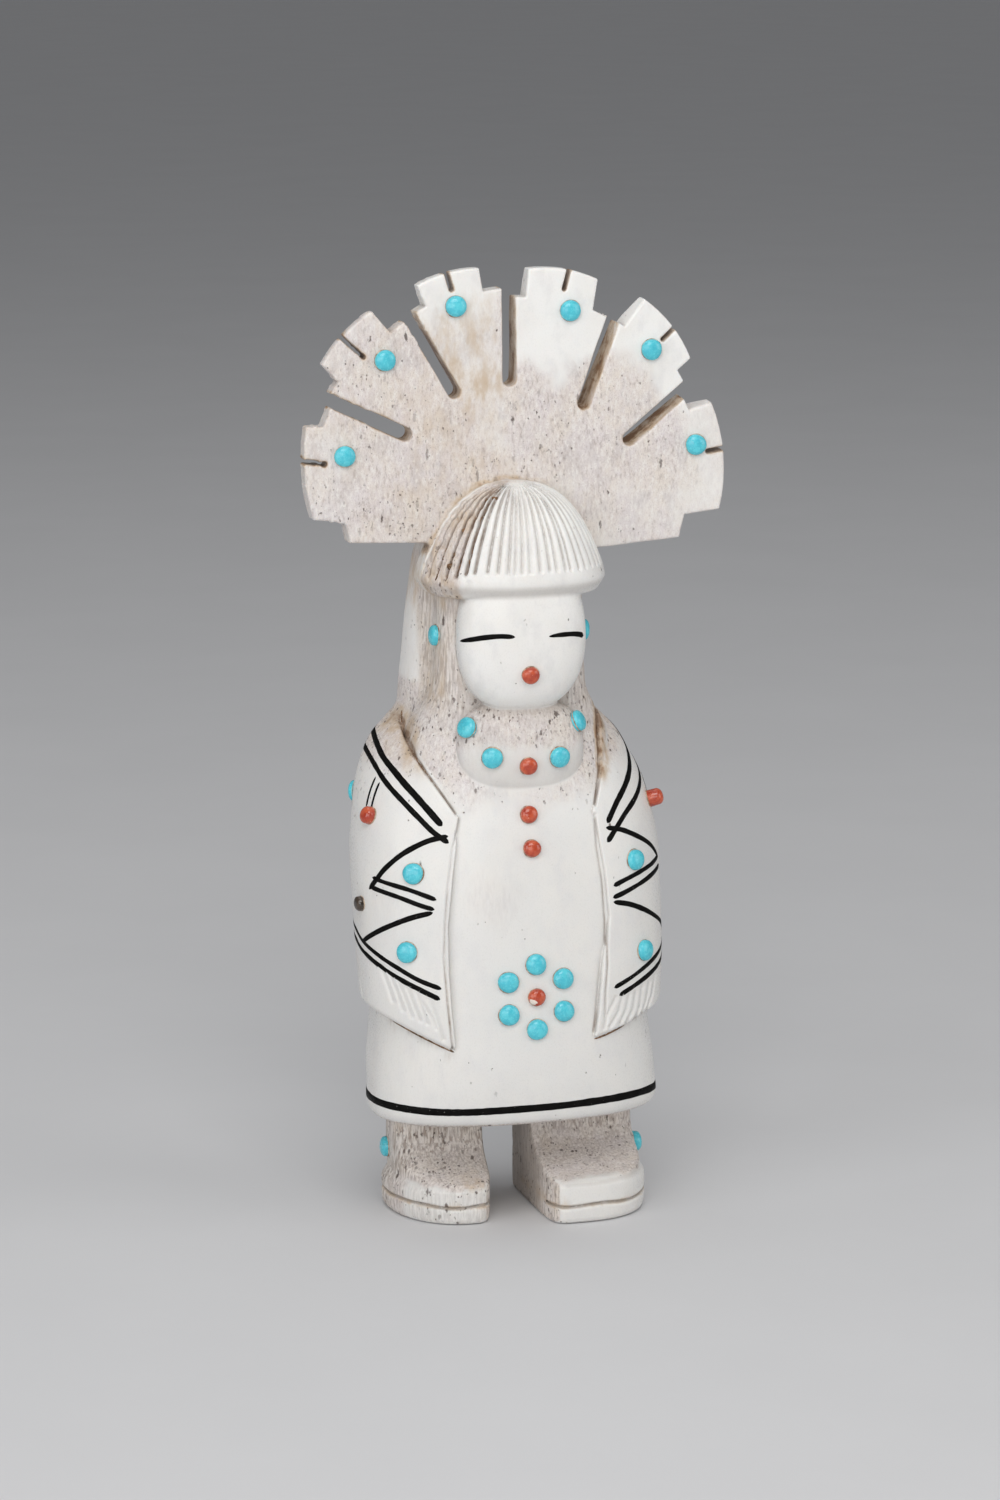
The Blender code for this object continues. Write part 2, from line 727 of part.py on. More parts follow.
def main():
    for thing in list(bpy.data.objects):
        bpy.data.objects.remove(thing)
    figure = bpy.data.objects.new("figure", None)
    bpy.context.scene.collection.objects.link(figure)
    carving = build_carving(figure)
    set_stones(carving, figure)
    figure.location.x = -MIDDLE_SHIFT * U
    bpy.context.view_layer.update()


main()
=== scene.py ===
"""Standing figure carved from one piece of antler, with a stepped fan headdress and set stones.

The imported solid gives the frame. The carving is made again here as one closed surface with its
finer carving, and the inked lines, the stones and the materials are added. Sizes are in
millimetres in the figure's own frame: X to the viewer's right, "forward" towards the viewer
(against Y) and up. The figure's middle is a little to the left of the part's origin.
"""

import itertools
import math
from functools import reduce

import bpy
import numpy as np
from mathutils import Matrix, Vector


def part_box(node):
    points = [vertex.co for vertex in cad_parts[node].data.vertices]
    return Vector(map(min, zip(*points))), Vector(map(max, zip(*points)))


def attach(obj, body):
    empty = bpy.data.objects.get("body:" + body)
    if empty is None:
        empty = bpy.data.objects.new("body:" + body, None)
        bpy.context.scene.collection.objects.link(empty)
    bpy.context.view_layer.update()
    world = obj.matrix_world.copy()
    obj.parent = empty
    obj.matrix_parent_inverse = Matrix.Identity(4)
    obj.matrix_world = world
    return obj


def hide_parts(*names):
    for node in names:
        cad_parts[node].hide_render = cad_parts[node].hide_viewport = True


MM = 0.001
MIDDLE_SHIFT = 0.64
# Distance given where no form is near
OUTSIDE = 9.0

# Level sections, from the hem up: height, half width, reach forward, reach back, how far
# forward the widest line is
BODY_SECTIONS = (
    (11.5, 14.7, 9.6, 9.5, 1.1),
    (11.75, 15.0, 9.95, 9.8, 1.4),
    (12.2, 15.28, 10.3, 10.1, 1.75),
    (12.9, 15.4, 10.52, 10.2, 2.0),
    (14.2, 15.3, 10.7, 10.4, 1.8),
    (17.0, 15.15, 10.85, 10.4, 0.8),
    (20.0, 14.8, 10.8, 10.3, 0.2),
    (24.0, 14.5, 10.55, 10.2, 0.0),
    (30.0, 14.1, 10.0, 10.0, 0.0),
    (36.0, 13.8, 9.2, 9.8, -0.3),
    (41.0, 13.2, 8.3, 9.6, -0.8),
    (45.0, 12.4, 7.3, 9.4, -1.2),
    (48.5, 11.2, 6.4, 9.2, -1.5),
    (51.0, 10.9, 5.4, 9.0, -1.5),
    (53.0, 10.0, 4.8, 8.8, -1.0),
    (54.5, 9.1, 4.6, 8.8, -0.6),
    (56.0, 8.4, 4.6, 8.7, -0.2),
    (58.0, 8.0, 4.7, 8.6, 0.0),
    (64.0, 7.8, 4.7, 8.2, 0.0),
    (70.0, 7.4, 4.5, 7.0, 0.0),
    (75.0, 5.0, 3.0, 4.0, 0.0),
)
BODY_POWER = 2.45
ROBE_SECTIONS = (
    (18.0, 15.4, 11.3, 10.5, 1.5),
    (22.0, 15.9, 11.35, 10.9, 1.4),
    (26.0, 16.15, 11.1, 11.05, 1.2),
    (30.5, 16.35, 10.6, 11.1, 0.4),
    (35.5, 16.5, 9.9, 11.1, -0.6),
    (40.0, 16.4, 9.0, 11.05, -1.7),
    (43.5, 15.85, 8.1, 11.0, -2.9),
    (46.0, 15.3, 7.2, 11.0, -4.2),
    (48.5, 14.25, 5.9, 10.9, -5.6),
    (50.5, 13.2, 4.2, 10.7, -6.2),
    (52.2, 11.6, 2.0, 10.4, -6.6),
    (53.4, 10.4, 0.2, 10.0, -6.6),
    (54.2, 8.9, -1.5, 9.2, -6.6),
)
ROBE_POWER = 2.3
ROBE_TIP = 19.9
ROBE_TIP_RIGHT = 20.45
ROBE_SIDE = 23.7
ROBE_SIDE_RIGHT = 22.9
ROBE_WIDEST = 16.0
# Front opening of the robe: height, how far out its left and right edges run
ROBE_OPENING = (
    (16.0, 8.3, 6.5),
    (20.0, 8.4, 6.25),
    (24.0, 8.8, 6.85),
    (28.0, 9.0, 7.4),
    (33.0, 8.9, 8.4),
    (38.0, 8.2, 8.1),
    (44.0, 7.2, 7.2),
    (47.0, 8.6, 8.6),
    (49.0, 9.7, 9.5),
    (51.0, 10.3, 10.2),
    (53.0, 10.7, 10.7),
    (58.0, 10.7, 10.7),
)
OPENING_BACK = -2.5
HAIR_SECTIONS = (
    (50.0, 9.9, 0.0, 10.0, -6.8),
    (54.0, 10.1, 1.4, 10.1, -6.8),
    (60.0, 9.6, 1.6, 10.0, -6.6),
    (66.0, 9.0, 1.6, 9.7, -6.3),
    (71.0, 8.3, 1.5, 9.0, -5.4),
    (74.5, 6.4, 1.2, 7.6, -3.8),
    (77.0, 4.2, 0.6, 5.5, -2.4),
    (78.2, 1.6, 0.2, 3.4, -1.4),
)
HAIR_POWER = 2.3
CAP_SECTIONS = (
    (66.6, 8.9, 7.9, 1.0, 1.2),
    (67.2, 9.3, 8.45, 1.0, 1.2),
    (68.1, 9.8, 9.0, 1.0, 1.2),
    (69.3, 9.6, 9.0, 1.0, 1.2),
    (71.2, 8.85, 8.75, 1.0, 1.2),
    (73.2, 7.85, 8.3, 1.0, 1.2),
    (75.2, 6.5, 7.4, 1.0, 1.4),
    (76.8, 4.85, 6.4, 1.0, 1.6),
    (77.7, 3.2, 5.4, 1.0, 1.8),
    (78.2, 1.6, 4.4, 1.0, 2.0),
)
CAP_POWER = 2.15
CAP_BACK = 1.0

# Rounded forms: height of the middle, half height, half width, reach forward and back
FACE = (62.6, 8.0, 6.8, 8.75, -1.0)
BIB = (50.6, 5.5, 6.8, 7.5, -1.0)
BLOB_POWER = 2.4

# Fan headdress. Each lobe ends in a tab with a step on either side. Angles are in degrees
# from straight up and radii are from the hub. Columns: the tab's angle and radius, then its
# step's, for where the lobe starts and again for where it ends
HUB = (0.3, 77.0)
FAN_FORWARD = 1.0
FAN_LOBES = (
    (-96.2, 21.3, -98.6, 18.0, -71.6, 23.1, -70.1, 21.4),
    (-56.0, 24.4, -57.2, 22.0, -38.2, 24.1, -37.8, 21.2),
    (-25.4, 23.7, -25.7, 21.4, -8.8, 23.3, -8.6, 20.9),
    (4.1, 22.9, 3.9, 20.0, 23.1, 23.4, 25.2, 20.3),
    (36.1, 24.0, 35.8, 20.5, 56.0, 23.25, 56.5, 21.4),
    (68.9, 23.15, 68.2, 20.6, 97.4, 22.7, 100.1, 19.0),
)
TAB_BULGE = 0.2
TAB_POINTS = 9
FAN_GAPS = (-62.5, -32.3, -2.5, 29.5, 62.5)
FAN_CORNERS = (-105.6, 107.5)
FAN_BASE = ((8.0, 70.4), (-7.0, 71.8))
FAN_THICKNESS = ((0.5, 4.2), (11.0, 3.4), (18.0, 2.7), (21.5, 2.3), (25.5, 0.9))
FAN_SLOTS = (
    (-10.5, 82.9, -64.5),
    (-5.6, 86.8, -30.8),
    (0.0, 87.8, -0.9),
    (7.75, 85.1, 20.0),
    (12.4, 81.4, 50.3),
)
SLOT_WIDTH = 1.4
SLOT_LENGTH = 14
FAN_SLITS = ((-80.2, 2.2), (-47.9, 3.1), (-17.3, 1.8), (14.9, 2.0), (47.0, 1.7), (81.4, 1.7))
SLIT_WIDTH = 0.45
PAST_TAB = 2
# The fan's plane map: first and last x and height, and its step
FAN_SPAN = ((-25, 26), (66, 103))
FAN_STEP = 0.1
# The two slots on the right are cut at a slant, this much per millimetre of depth
SLOT_LEAN = 0.15
# How far from the hub the fan is porous: angle and radius
FAN_POROUS = (
    (-100, 19.0),
    (-72, 20.0),
    (-58, 23.0),
    (-32, 24.5),
    (-4, 24.5),
    (1, 13.5),
    (28, 13.0),
    (34, 17.5),
    (62, 18.0),
    (70, 20.0),
    (100, 19.0),
)

# Feet. Columns: inner side, where the toe reaches furthest, outer side, toe's reach forward,
# height of the toe, how far forward the widest line is, roundness of the inner and outer corner
FEET = (
    (-2.7, -5.3, -12.85, 6.5, 4.3, -3.0, 3.0, 2.15),
    (2.3, 5.5, 14.5, 9.1, 4.8, 0.0, 5.0, 2.5),
)
# Legs over them: inner and outer side, roundness of the outer corner in front
LEGS = ((-2.7, -12.2, 4.0), (2.3, 13.85, 8.0))
LEG_FORWARD = 0.4
HEEL_BACK = 7.0
LEG_TOP = 13.0
HEEL_POWER = 2.8
INNER_WALL_POWER = 12.0
# Groove over the sole: its height, depth and half width
SOLE = 2.0
SOLE_DEEP = 0.4
SOLE_WIDE = 0.16


# Grooves of the hair cap: how far round from the front in radians, depth and half width
CAP_RIM = 69.4
CAP_GROOVES = (
    (-1.50, 0.30, 0.14),
    (-1.33, 0.40, 0.16),
    (-1.164, 0.46, 0.17),
    (-0.996, 0.50, 0.18),
    (-0.851, 0.46, 0.17),
    (-0.732, 0.52, 0.18),
    (-0.622, 0.45, 0.18),
    (-0.471, 0.37, 0.17),
    (-0.351, 0.35, 0.18),
    (-0.234, 0.33, 0.18),
    (-0.162, 0.29, 0.17),
    (-0.087, 0.33, 0.18),
    (-0.003, 0.33, 0.18),
    (0.09, 0.33, 0.18),
    (0.196, 0.33, 0.18),
    (0.28, 0.31, 0.18),
    (0.392, 0.33, 0.18),
    (0.459, 0.30, 0.17),
    (0.587, 0.33, 0.18),
    (0.70, 0.31, 0.18),
    (0.83, 0.33, 0.18),
    (0.96, 0.30, 0.18),
    (1.10, 0.31, 0.18),
    (1.26, 0.30, 0.18),
    (1.42, 0.29, 0.18),
)

# Grooves cut from the front: points (x, height), depth at the start and end, half width
FOLD_LEFT = (
    (-10.2, 53.4),
    (-10.37, 52.5),
    (-10.62, 51.1),
    (-10.34, 49.6),
    (-9.69, 48.2),
    (-8.82, 46.7),
    (-7.5, 44.4),
)
FOLD_RIGHT = ((9.4, 54.4), (9.08, 52.5), (8.88, 50.1), (8.62, 47.9), (7.6, 44.5))
EDGE_LEFT = (
    (-7.2, 43.8),
    (-8.1, 40.9),
    (-8.9, 36.2),
    (-9.2, 33.3),
    (-9.44, 29.9),
    (-9.36, 27.6),
    (-9.2, 24.8),
    (-8.9, 21.6),
    (-8.75, 20.3),
)
EDGE_RIGHT = (
    (7.5, 43.6),
    (7.5, 40.1),
    (7.95, 36.6),
    (8.1, 32.1),
    (8.05, 30.5),
    (7.95, 27.7),
    (7.7, 25.4),
    (7.6, 22.7),
)
# Folds: the line, its depth at the start and end. They are wide outwards and steep inwards
FOLDS = ((FOLD_LEFT, 0.46, 0.20), (FOLD_RIGHT, 0.55, 0.22))
FOLD_WIDE = 0.42
FOLD_STEEP = 0.14
# How far back the grooves cut from the front reach
GROOVES_BACK = -6.5
GROOVES = (
    (EDGE_LEFT, 0.14, 0.24, 0.16),
    (EDGE_RIGHT, 0.14, 0.24, 0.16),
    (((7.4, 28.2), (7.08, 25.9), (6.75, 23.0), (6.44, 21.2)), 0.05, 0.22, 0.16),
    (((-10.95, 25.5), (-9.7, 21.4)), 0.12, 0.20, 0.21),
    (((-11.72, 25.2), (-10.71, 23.5), (-10.3, 22.5)), 0.12, 0.19, 0.21),
    (((-12.22, 26.4), (-11.63, 24.5), (-11.2, 23.0)), 0.12, 0.19, 0.21),
    (((-13.01, 26.6), (-12.26, 24.4), (-11.85, 23.3)), 0.12, 0.20, 0.21),
    (((-13.86, 27.4), (-13.03, 25.0), (-12.6, 23.6)), 0.12, 0.19, 0.21),
    (((-14.49, 27.9), (-13.88, 26.1), (-13.35, 24.2)), 0.12, 0.20, 0.21),
    (((-15.14, 28.5), (-14.63, 26.7), (-14.2, 25.0)), 0.1, 0.17, 0.21),
    (((8.9, 24.6), (7.74, 22.7), (7.5, 21.6)), 0.12, 0.19, 0.21),
    (((9.7, 24.5), (9.22, 23.0), (8.2, 21.6)), 0.12, 0.20, 0.21),
    (((10.55, 24.6), (10.19, 23.1), (9.4, 21.7)), 0.12, 0.20, 0.21),
    (((11.4, 24.7), (11.04, 22.9), (10.3, 21.8)), 0.12, 0.19, 0.21),
    (((12.3, 25.1), (11.94, 23.0), (11.3, 21.7)), 0.12, 0.20, 0.21),
    (((13.3, 25.3), (12.89, 23.5), (12.2, 22.0)), 0.12, 0.19, 0.21),
    (((14.2, 25.8), (13.74, 23.9), (12.9, 22.3)), 0.1, 0.19, 0.21),
)
# Fringe grooves round the sides and back: first and last angle from the front, and how many
FRINGE_BACK = (84.0, 276.0, 37)
# Degrees that they lean for each millimetre of height, their depth and half width
FRINGE_SLANT = 1.1
FRINGE_DEEP = 0.18
FRINGE_WIDE = 0.21
ROBE_AXIS = -1.0


def smooth_min(a, b, blend):
    """The lower of two distances, rounded over the blend's width where they meet."""
    h = np.maximum(blend - np.abs(a - b), 0.0) / blend
    return np.minimum(a, b) - h * h * blend / 4


def smooth_max(a, b, blend):
    """The higher of two distances, rounded in the same way."""
    return -smooth_min(-a, -b, blend)


def ramp(value, start, end):
    """Smooth step from 0 at start to 1 at end."""
    t = np.clip((value - start) / (end - start), 0.0, 1.0)
    return t * t * (3 - 2 * t)


def valley(away, width):
    """From 1 in the middle of a groove to 0 beyond its sides."""
    return np.exp(-((away / width) ** 2))


def highest(*values):
    """The highest of several arrays at each place."""
    return reduce(np.maximum, values)


# A cell's eight corners, and the random values that noise is made from
CORNERS = np.array(list(itertools.product((0, 1), repeat=3)))
LATTICE_SIDE = 32
LATTICE = np.random.RandomState(11).rand(*[LATTICE_SIDE] * 3).astype(np.float32)
LATTICE_SHIFT = 100.37


def noise(x, y, z, scale):
    """Smooth uneven value from -1 to 1, with bumps about scale wide."""
    cells, sides = [], []
    for v in (x, y, z):
        v = v / scale + LATTICE_SHIFT
        low = np.floor(v)
        share = ramp(v - low, 0.0, 1.0)
        cells.append(low.astype(np.int32))
        sides.append((1 - share, share))
    total = 0.0
    for corner in CORNERS:
        found = LATTICE[tuple((cell + c) % LATTICE_SIDE for cell, c in zip(cells, corner))]
        for side, c in zip(sides, corner):
            found = found * side[c]
        total = total + found
    return total * 2 - 1


def dense(table, step=0.05):
    """Heights, columns and their slopes on smooth curves through the rows of a section table."""
    table = np.array(table)
    rows, values = table[:, :1], table[:, 1:]
    before, after = np.vstack([table[:1], table[:-1]]), np.vstack([table[1:], table[-1:]])
    slopes = (after[:, 1:] - before[:, 1:]) / (after[:, :1] - before[:, :1])
    heights = np.arange(rows[0, 0], rows[-1, 0] + step / 2, step)
    k = np.clip(np.searchsorted(rows[:, 0], heights, "right") - 1, 0, len(rows) - 2)
    span = rows[k + 1] - rows[k]
    t = np.clip((heights[:, None] - rows[k]) / span, 0, 1)
    columns = values[k] + (values[k + 1] - values[k]) * (3 * t**2 - 2 * t**3)
    columns += span * (slopes[k] * (t**3 - 2 * t**2 + t) + slopes[k + 1] * (t**3 - t**2))
    return heights, columns, np.gradient(columns, step, axis=0)


BODY_FINE = dense(BODY_SECTIONS)
ROBE_FINE = dense(ROBE_SECTIONS)
HAIR_FINE = dense(HAIR_SECTIONS)
CAP_FINE = dense(CAP_SECTIONS)


def rounded_size(shares, power):
    """How large a rounded form is that reaches a point, where 1 is the form's own size, from the
    point's shares of its half widths. Also gives each share to the power less one."""
    parts = [share ** (power - 1) for share in shares]
    total = sum(part * share for part, share in zip(parts, shares))
    return np.maximum(total ** (1 / power), 1e-4), parts


def rounded_distance(size, power, slopes):
    """Distance to a rounded form, from its size at a point and the parts of its slope."""
    steep = size ** (1 - power) * np.sqrt(sum(slope**2 for slope in slopes))
    return (size - 1) / np.maximum(steep, 1e-3)


def level(heights, columns, z):
    """A section's four sizes at heights z: half width, reach forward and back, widest line."""
    return (np.interp(z, heights, column) for column in columns.T)


def oval(fine, power, x, f, z):
    """Distance to a form with rounded level sections."""
    heights, columns, slopes = fine
    within = (z > heights[0]) & (z < heights[-1])
    wide, front, back, widest = level(heights, columns, z)
    d_wide, d_front, d_back, d_widest = (slope * within for slope in level(heights, slopes, z))
    ahead = f >= widest
    reach = np.where(ahead, front - widest, back + widest)
    d_reach = np.where(ahead, d_front - d_widest, d_back + d_widest)
    sign = np.where(ahead, 1.0, -1.0)
    across, along = np.abs(x) / wide, np.abs(f - widest) / reach
    size, (a, b) = rounded_size((across, along), power)
    slope_z = a * across * d_wide / wide + b * (sign * d_widest + along * d_reach) / reach
    return rounded_distance(size, power, (a / wide, b / reach, slope_z * ramp(size, 2.5, 1.3)))


def level_ends(d, fine, z, low_blend=0.5):
    """Ends a form at its lowest and highest section."""
    d = smooth_max(d, fine[0][0] - z, low_blend)
    return smooth_max(d, z - fine[0][-1], 0.5)


def blob(form, x, f, z):
    """Distance to a rounded form: the face or the bib."""
    middle, half_height, half_width, front, back = form
    halves = (half_width, (front + back) / 2, half_height)
    away = (x, f - (front - back) / 2, z - middle)
    size, parts = rounded_size([np.abs(v) / half for v, half in zip(away, halves)], BLOB_POWER)
    return rounded_distance(size, BLOB_POWER, [part / half for part, half in zip(parts, halves)])


def segment_distance(x, z, start, end):
    """Distance in a plane from points to a segment, and how far along it is nearest."""
    dx, dz = end[0] - start[0], end[1] - start[1]
    t = np.clip(((x - start[0]) * dx + (z - start[1]) * dz) / (dx * dx + dz * dz), 0, 1)
    return np.hypot(x - start[0] - t * dx, z - start[1] - t * dz), t


def polyline_distance(x, z, points):
    """Distance to a polyline in a plane, and the share of its length where it is nearest."""
    spans = [math.dist(a[:2], b[:2]) for a, b in zip(points, points[1:])]
    total, passed = sum(spans), 0.0
    best = np.full(x.shape, 1e3)
    share = np.zeros(x.shape)
    for a, b, span in zip(points, points[1:], spans):
        d, t = segment_distance(x, z, a, b)
        nearer = d < best
        best = np.where(nearer, d, best)
        share = np.where(nearer, (passed + t * span) / total, share)
        passed += span
    return best, share


def polygon_distance(x, z, points):
    """Signed distance to a closed polygon, below 0 inside it."""
    best = np.full(x.shape, 1e3)
    inside = np.zeros(x.shape, bool)
    for a, b in zip(points, points[1:] + points[:1]):
        best = np.minimum(best, segment_distance(x, z, a, b)[0])
        crosses = (a[1] > z) != (b[1] > z)
        with np.errstate(divide="ignore", invalid="ignore"):
            at = (b[0] - a[0]) * (z - a[1]) / (b[1] - a[1]) + a[0]
        inside ^= crosses & (x < at)
    return np.where(inside, -best, best)


def hub_point(angle, radius):
    """Place (x, height) in the fan, from its angle and radius at the hub."""
    turn = math.radians(angle)
    return HUB[0] + radius * math.sin(turn), HUB[1] + radius * math.cos(turn)


def tab_tip(lobe):
    """Radius of a tab's end in its middle."""
    return (lobe[1] + lobe[5]) / 2 + TAB_BULGE


def fan_outline():
    """Stepped outline, clockwise from the lower left. Each tab's end is a shallow arc."""
    points = []
    edges = (FAN_CORNERS[0], *FAN_GAPS, FAN_CORNERS[1])
    for i, (lobe, left, right) in enumerate(zip(FAN_LOBES, edges, edges[1:])):
        start, tip_start, step_in, step_start, end, tip_end, step_out, step_end = lobe
        points += [hub_point(left, step_start), hub_point(step_in, step_start)]
        bulge = 0.0 if i == 0 else TAB_BULGE
        for t in np.linspace(0, 1, TAB_POINTS):
            radius = tip_start + (tip_end - tip_start) * t + bulge * 4 * t * (1 - t)
            points.append(hub_point(start + (end - start) * t, radius))
        points += [hub_point(step_out, step_end), hub_point(right, step_end)]
    return points + list(FAN_BASE)


def slot_lines():
    """Middle lines of the slots and slits: start, end and width of each."""
    lines = []
    for x, z, angle in FAN_SLOTS:
        turn = math.radians(angle)
        s, c = math.sin(turn), math.cos(turn)
        ends = [(x + s * along, z + c * along) for along in (SLOT_WIDTH / 2, SLOT_LENGTH)]
        lines.append((*ends, SLOT_WIDTH))
    for lobe, (angle, depth) in zip(FAN_LOBES, FAN_SLITS):
        ends = [hub_point(angle, tab_tip(lobe) + further) for further in (-depth, PAST_TAB)]
        lines.append((*ends, SLIT_WIDTH))
    return lines


def fan_map():
    """Plane distance to the fan's outline with its slots cut, on a fine grid."""
    xs, zs = (np.arange(low, high, FAN_STEP) for low, high in FAN_SPAN)
    x, z = np.meshgrid(xs, zs, indexing="ij")
    rough = 0.05 * noise(x, x * 0, z, 1.7)
    d = polygon_distance(x, z, fan_outline()) + rough * 0.6
    for start, end, width in slot_lines():
        near, _ = segment_distance(x, z, start, end)
        d = smooth_max(d, width / 2 - near + rough * (width > 1) * 0.8, 0.12)
    outer = ramp(np.hypot(x - HUB[0], z - HUB[1]), 15.0, 18.5) * ramp(x, -7.0, -9.5)
    burrs = 0.16 * outer * np.maximum(noise(x, x * 0 + 1, z, 0.4) - 0.1, 0)
    return xs[0], zs[0], FAN_STEP, d - burrs


FAN_MAP = fan_map()


def sample_map(chart, x, z):
    """Value of a plane map at places between its points."""
    x0, z0, step, values = chart
    u = np.clip((x - x0) / step, 0, values.shape[0] - 1.001)
    v = np.clip((z - z0) / step, 0, values.shape[1] - 1.001)
    i, j = u.astype(np.int32), v.astype(np.int32)
    a, b = u - i, v - j
    low = values[i, j] * (1 - a) + values[i + 1, j] * a
    high = values[i, j + 1] * (1 - a) + values[i + 1, j + 1] * a
    return low * (1 - b) + high * b


def fan(x, f, z):
    """Distance to the fan: its plan, as thick as it is at that radius."""
    across, up = x - HUB[0], z - HUB[1]
    radius = np.maximum(np.hypot(across, up), 0.1)
    turn = np.degrees(np.arctan2(across, up))
    lean = SLOT_LEAN * ramp(turn, 12, 20) * ramp(turn, 98, 84) * (FAN_FORWARD - f)
    plan = sample_map(FAN_MAP, x + lean * up / radius, z - lean * across / radius)
    radii, thick = zip(*FAN_THICKNESS)
    thickness = np.interp(radius, radii, thick)
    uneven = 0.04 * noise(x, x * 0 + 3, z, 3.1)
    flat = np.maximum(f - FAN_FORWARD - uneven, FAN_FORWARD - thickness - f)
    return smooth_max(plan, flat, 0.32)


def foot_rows(top):
    """Rows of a foot and leg: height, how much its front and its sides are foot and not leg, and
    how far it tucks in. top is the toe's height."""
    return np.array((
        (0.0, 1.0, 1.0, 0.50),
        (0.25, 1.0, 1.0, 0.24),
        (0.6, 1.0, 1.0, 0.08),
        (1.4, 1.0, 1.0, 0.0),
        (top - 1.1, 1.0, 1.0, 0.0),
        (top - 0.8, 1.0, 0.85, 0.0),
        (top - 0.3, 0.985, 0.4, 0.06),
        (top, 0.93, 0.18, 0.12),
        (top + 0.35, 0.74, 0.06, 0.08),
        (top + 0.9, 0.49, 0.0, 0.0),
        (top + 1.5, 0.30, 0.0, 0.0),
        (top + 2.2, 0.15, 0.0, 0.0),
        (top + 3.4, 0.03, 0.0, 0.0),
        (top + 4.6, 0.0, 0.0, 0.0),
        (LEG_TOP, 0.0, 0.0, 0.0),
    ))


def foot(form, leg, x, f, z):
    """Distance to a foot with its leg, with the groove over its sole."""
    inner, peak, outer, toe, toe_height, widest, inner_power, outer_power = form
    leg_inner, leg_outer, leg_power = abs(leg[0]), abs(leg[1]), leg[2]
    side = math.copysign(1, outer)
    heights, fronts, sides, tucks = foot_rows(toe_height).T
    share, spread, tuck = (np.interp(z, heights, v) for v in (fronts, sides, tucks))
    steps = np.diff(heights)
    slope = np.interp(z, heights[:-1] + 0.01, np.diff(fronts) / steps) * (toe - LEG_FORWARD)
    slope -= np.interp(z, heights[:-1] + 0.01, np.diff(tucks) / steps)
    low = leg_inner + (abs(inner) - leg_inner) * spread + 0.3 * tuck
    high = leg_outer + (abs(outer) - leg_outer) * spread - tuck
    leg_middle = (leg_inner + leg_outer) / 2
    centre = leg_middle + (abs(peak) - leg_middle) * share
    front = LEG_FORWARD + (toe - LEG_FORWARD) * share - tuck
    leg_widest = (LEG_FORWARD - HEEL_BACK) / 2
    line = leg_widest + (widest - leg_widest) * share
    across, along = side * x - centre, f - line
    outward, ahead = across > 0, along > 0
    half_width = np.where(outward, high - centre, centre - low)
    half_depth = np.where(ahead, front - line, HEEL_BACK + line)
    front_outer = leg_power + (outer_power - leg_power) * share
    front_inner = INNER_WALL_POWER + (inner_power - INNER_WALL_POWER) * share
    p = np.where(
        outward,
        np.where(ahead, front_outer, HEEL_POWER),
        np.where(ahead, front_inner, INNER_WALL_POWER),
    )
    across, along = across / half_width, along / half_depth
    size, (a, b) = rounded_size((np.abs(across), np.abs(along)), p)
    tilt = np.where(ahead, b * slope / half_depth, 0)
    d = rounded_distance(size, p, (a / half_width, b / half_depth, tilt))
    wave = 0.10 * np.sin(x * 0.9 + side) + 0.05 * noise(x, f, x * 0, 1.5)
    front_share = ramp(f, -6.0, -3.0) * ramp(across, -0.97, -0.9)
    d = d + SOLE_DEEP * front_share * valley(z - SOLE - wave, SOLE_WIDE)
    return smooth_max(smooth_max(d, z - LEG_TOP, 0.4), -z, 0.35)


def robe_low(x, f):
    """Height of the robe's lower edge: two points in front, higher round the sides."""
    side = np.where(x > 0, ROBE_SIDE_RIGHT, ROBE_SIDE)
    tip = np.where(x > 0, ROBE_TIP_RIGHT, ROBE_TIP)
    across = np.abs(x)
    edge = np.where(x > 0, ROBE_OPENING[1][2], ROBE_OPENING[1][1])
    t = np.clip((across - edge) / (ROBE_WIDEST - edge), 0, 1)
    front = tip + (side - tip) * t
    back = ROBE_SIDE + (side - ROBE_SIDE) * np.clip(across / ROBE_WIDEST, 0, 1)
    turned = ramp(f, 0.2, 2.2)
    return front * turned + back * (1 - turned)


def opening_edge(x, z):
    """How far out the edge of the robe's front opening is."""
    heights, left, right = zip(*ROBE_OPENING)
    return np.where(x > 0, np.interp(z, heights, right), np.interp(z, heights, left))


def robe(x, f, z):
    """Distance to the robe, with its opening and its lower edge."""
    d = oval(ROBE_FINE, ROBE_POWER, x, f, z)
    keep = np.minimum(opening_edge(x, z) - np.abs(x), f - OPENING_BACK)
    d = smooth_max(d, keep, 0.35)
    d = smooth_max(d, robe_low(x, f) - z, 0.6)
    return smooth_max(d, z - ROBE_SECTIONS[-1][0], 0.8)


def cap_turn(x, f, z):
    """How far round the hair cap a point is, from the front (0) towards +X, in radians."""
    wide, front, _, widest = level(*CAP_FINE[:2], z)
    across = np.sign(x) * (np.abs(x) / wide) ** (CAP_POWER / 2)
    along = np.sign(f - widest) * (np.abs(f - widest) / (front - widest)) ** (CAP_POWER / 2)
    return np.arctan2(across, along)


def cap(x, f, z, carved=True):
    """Distance to the hair cap, with or without its grooves."""
    d = oval(CAP_FINE, CAP_POWER, x, np.maximum(f, 1.25), z)
    if carved:
        d = d + cap_grooves(x, f, z)
    return smooth_max(level_ends(d, CAP_FINE, z), -CAP_BACK - f, 0.3)


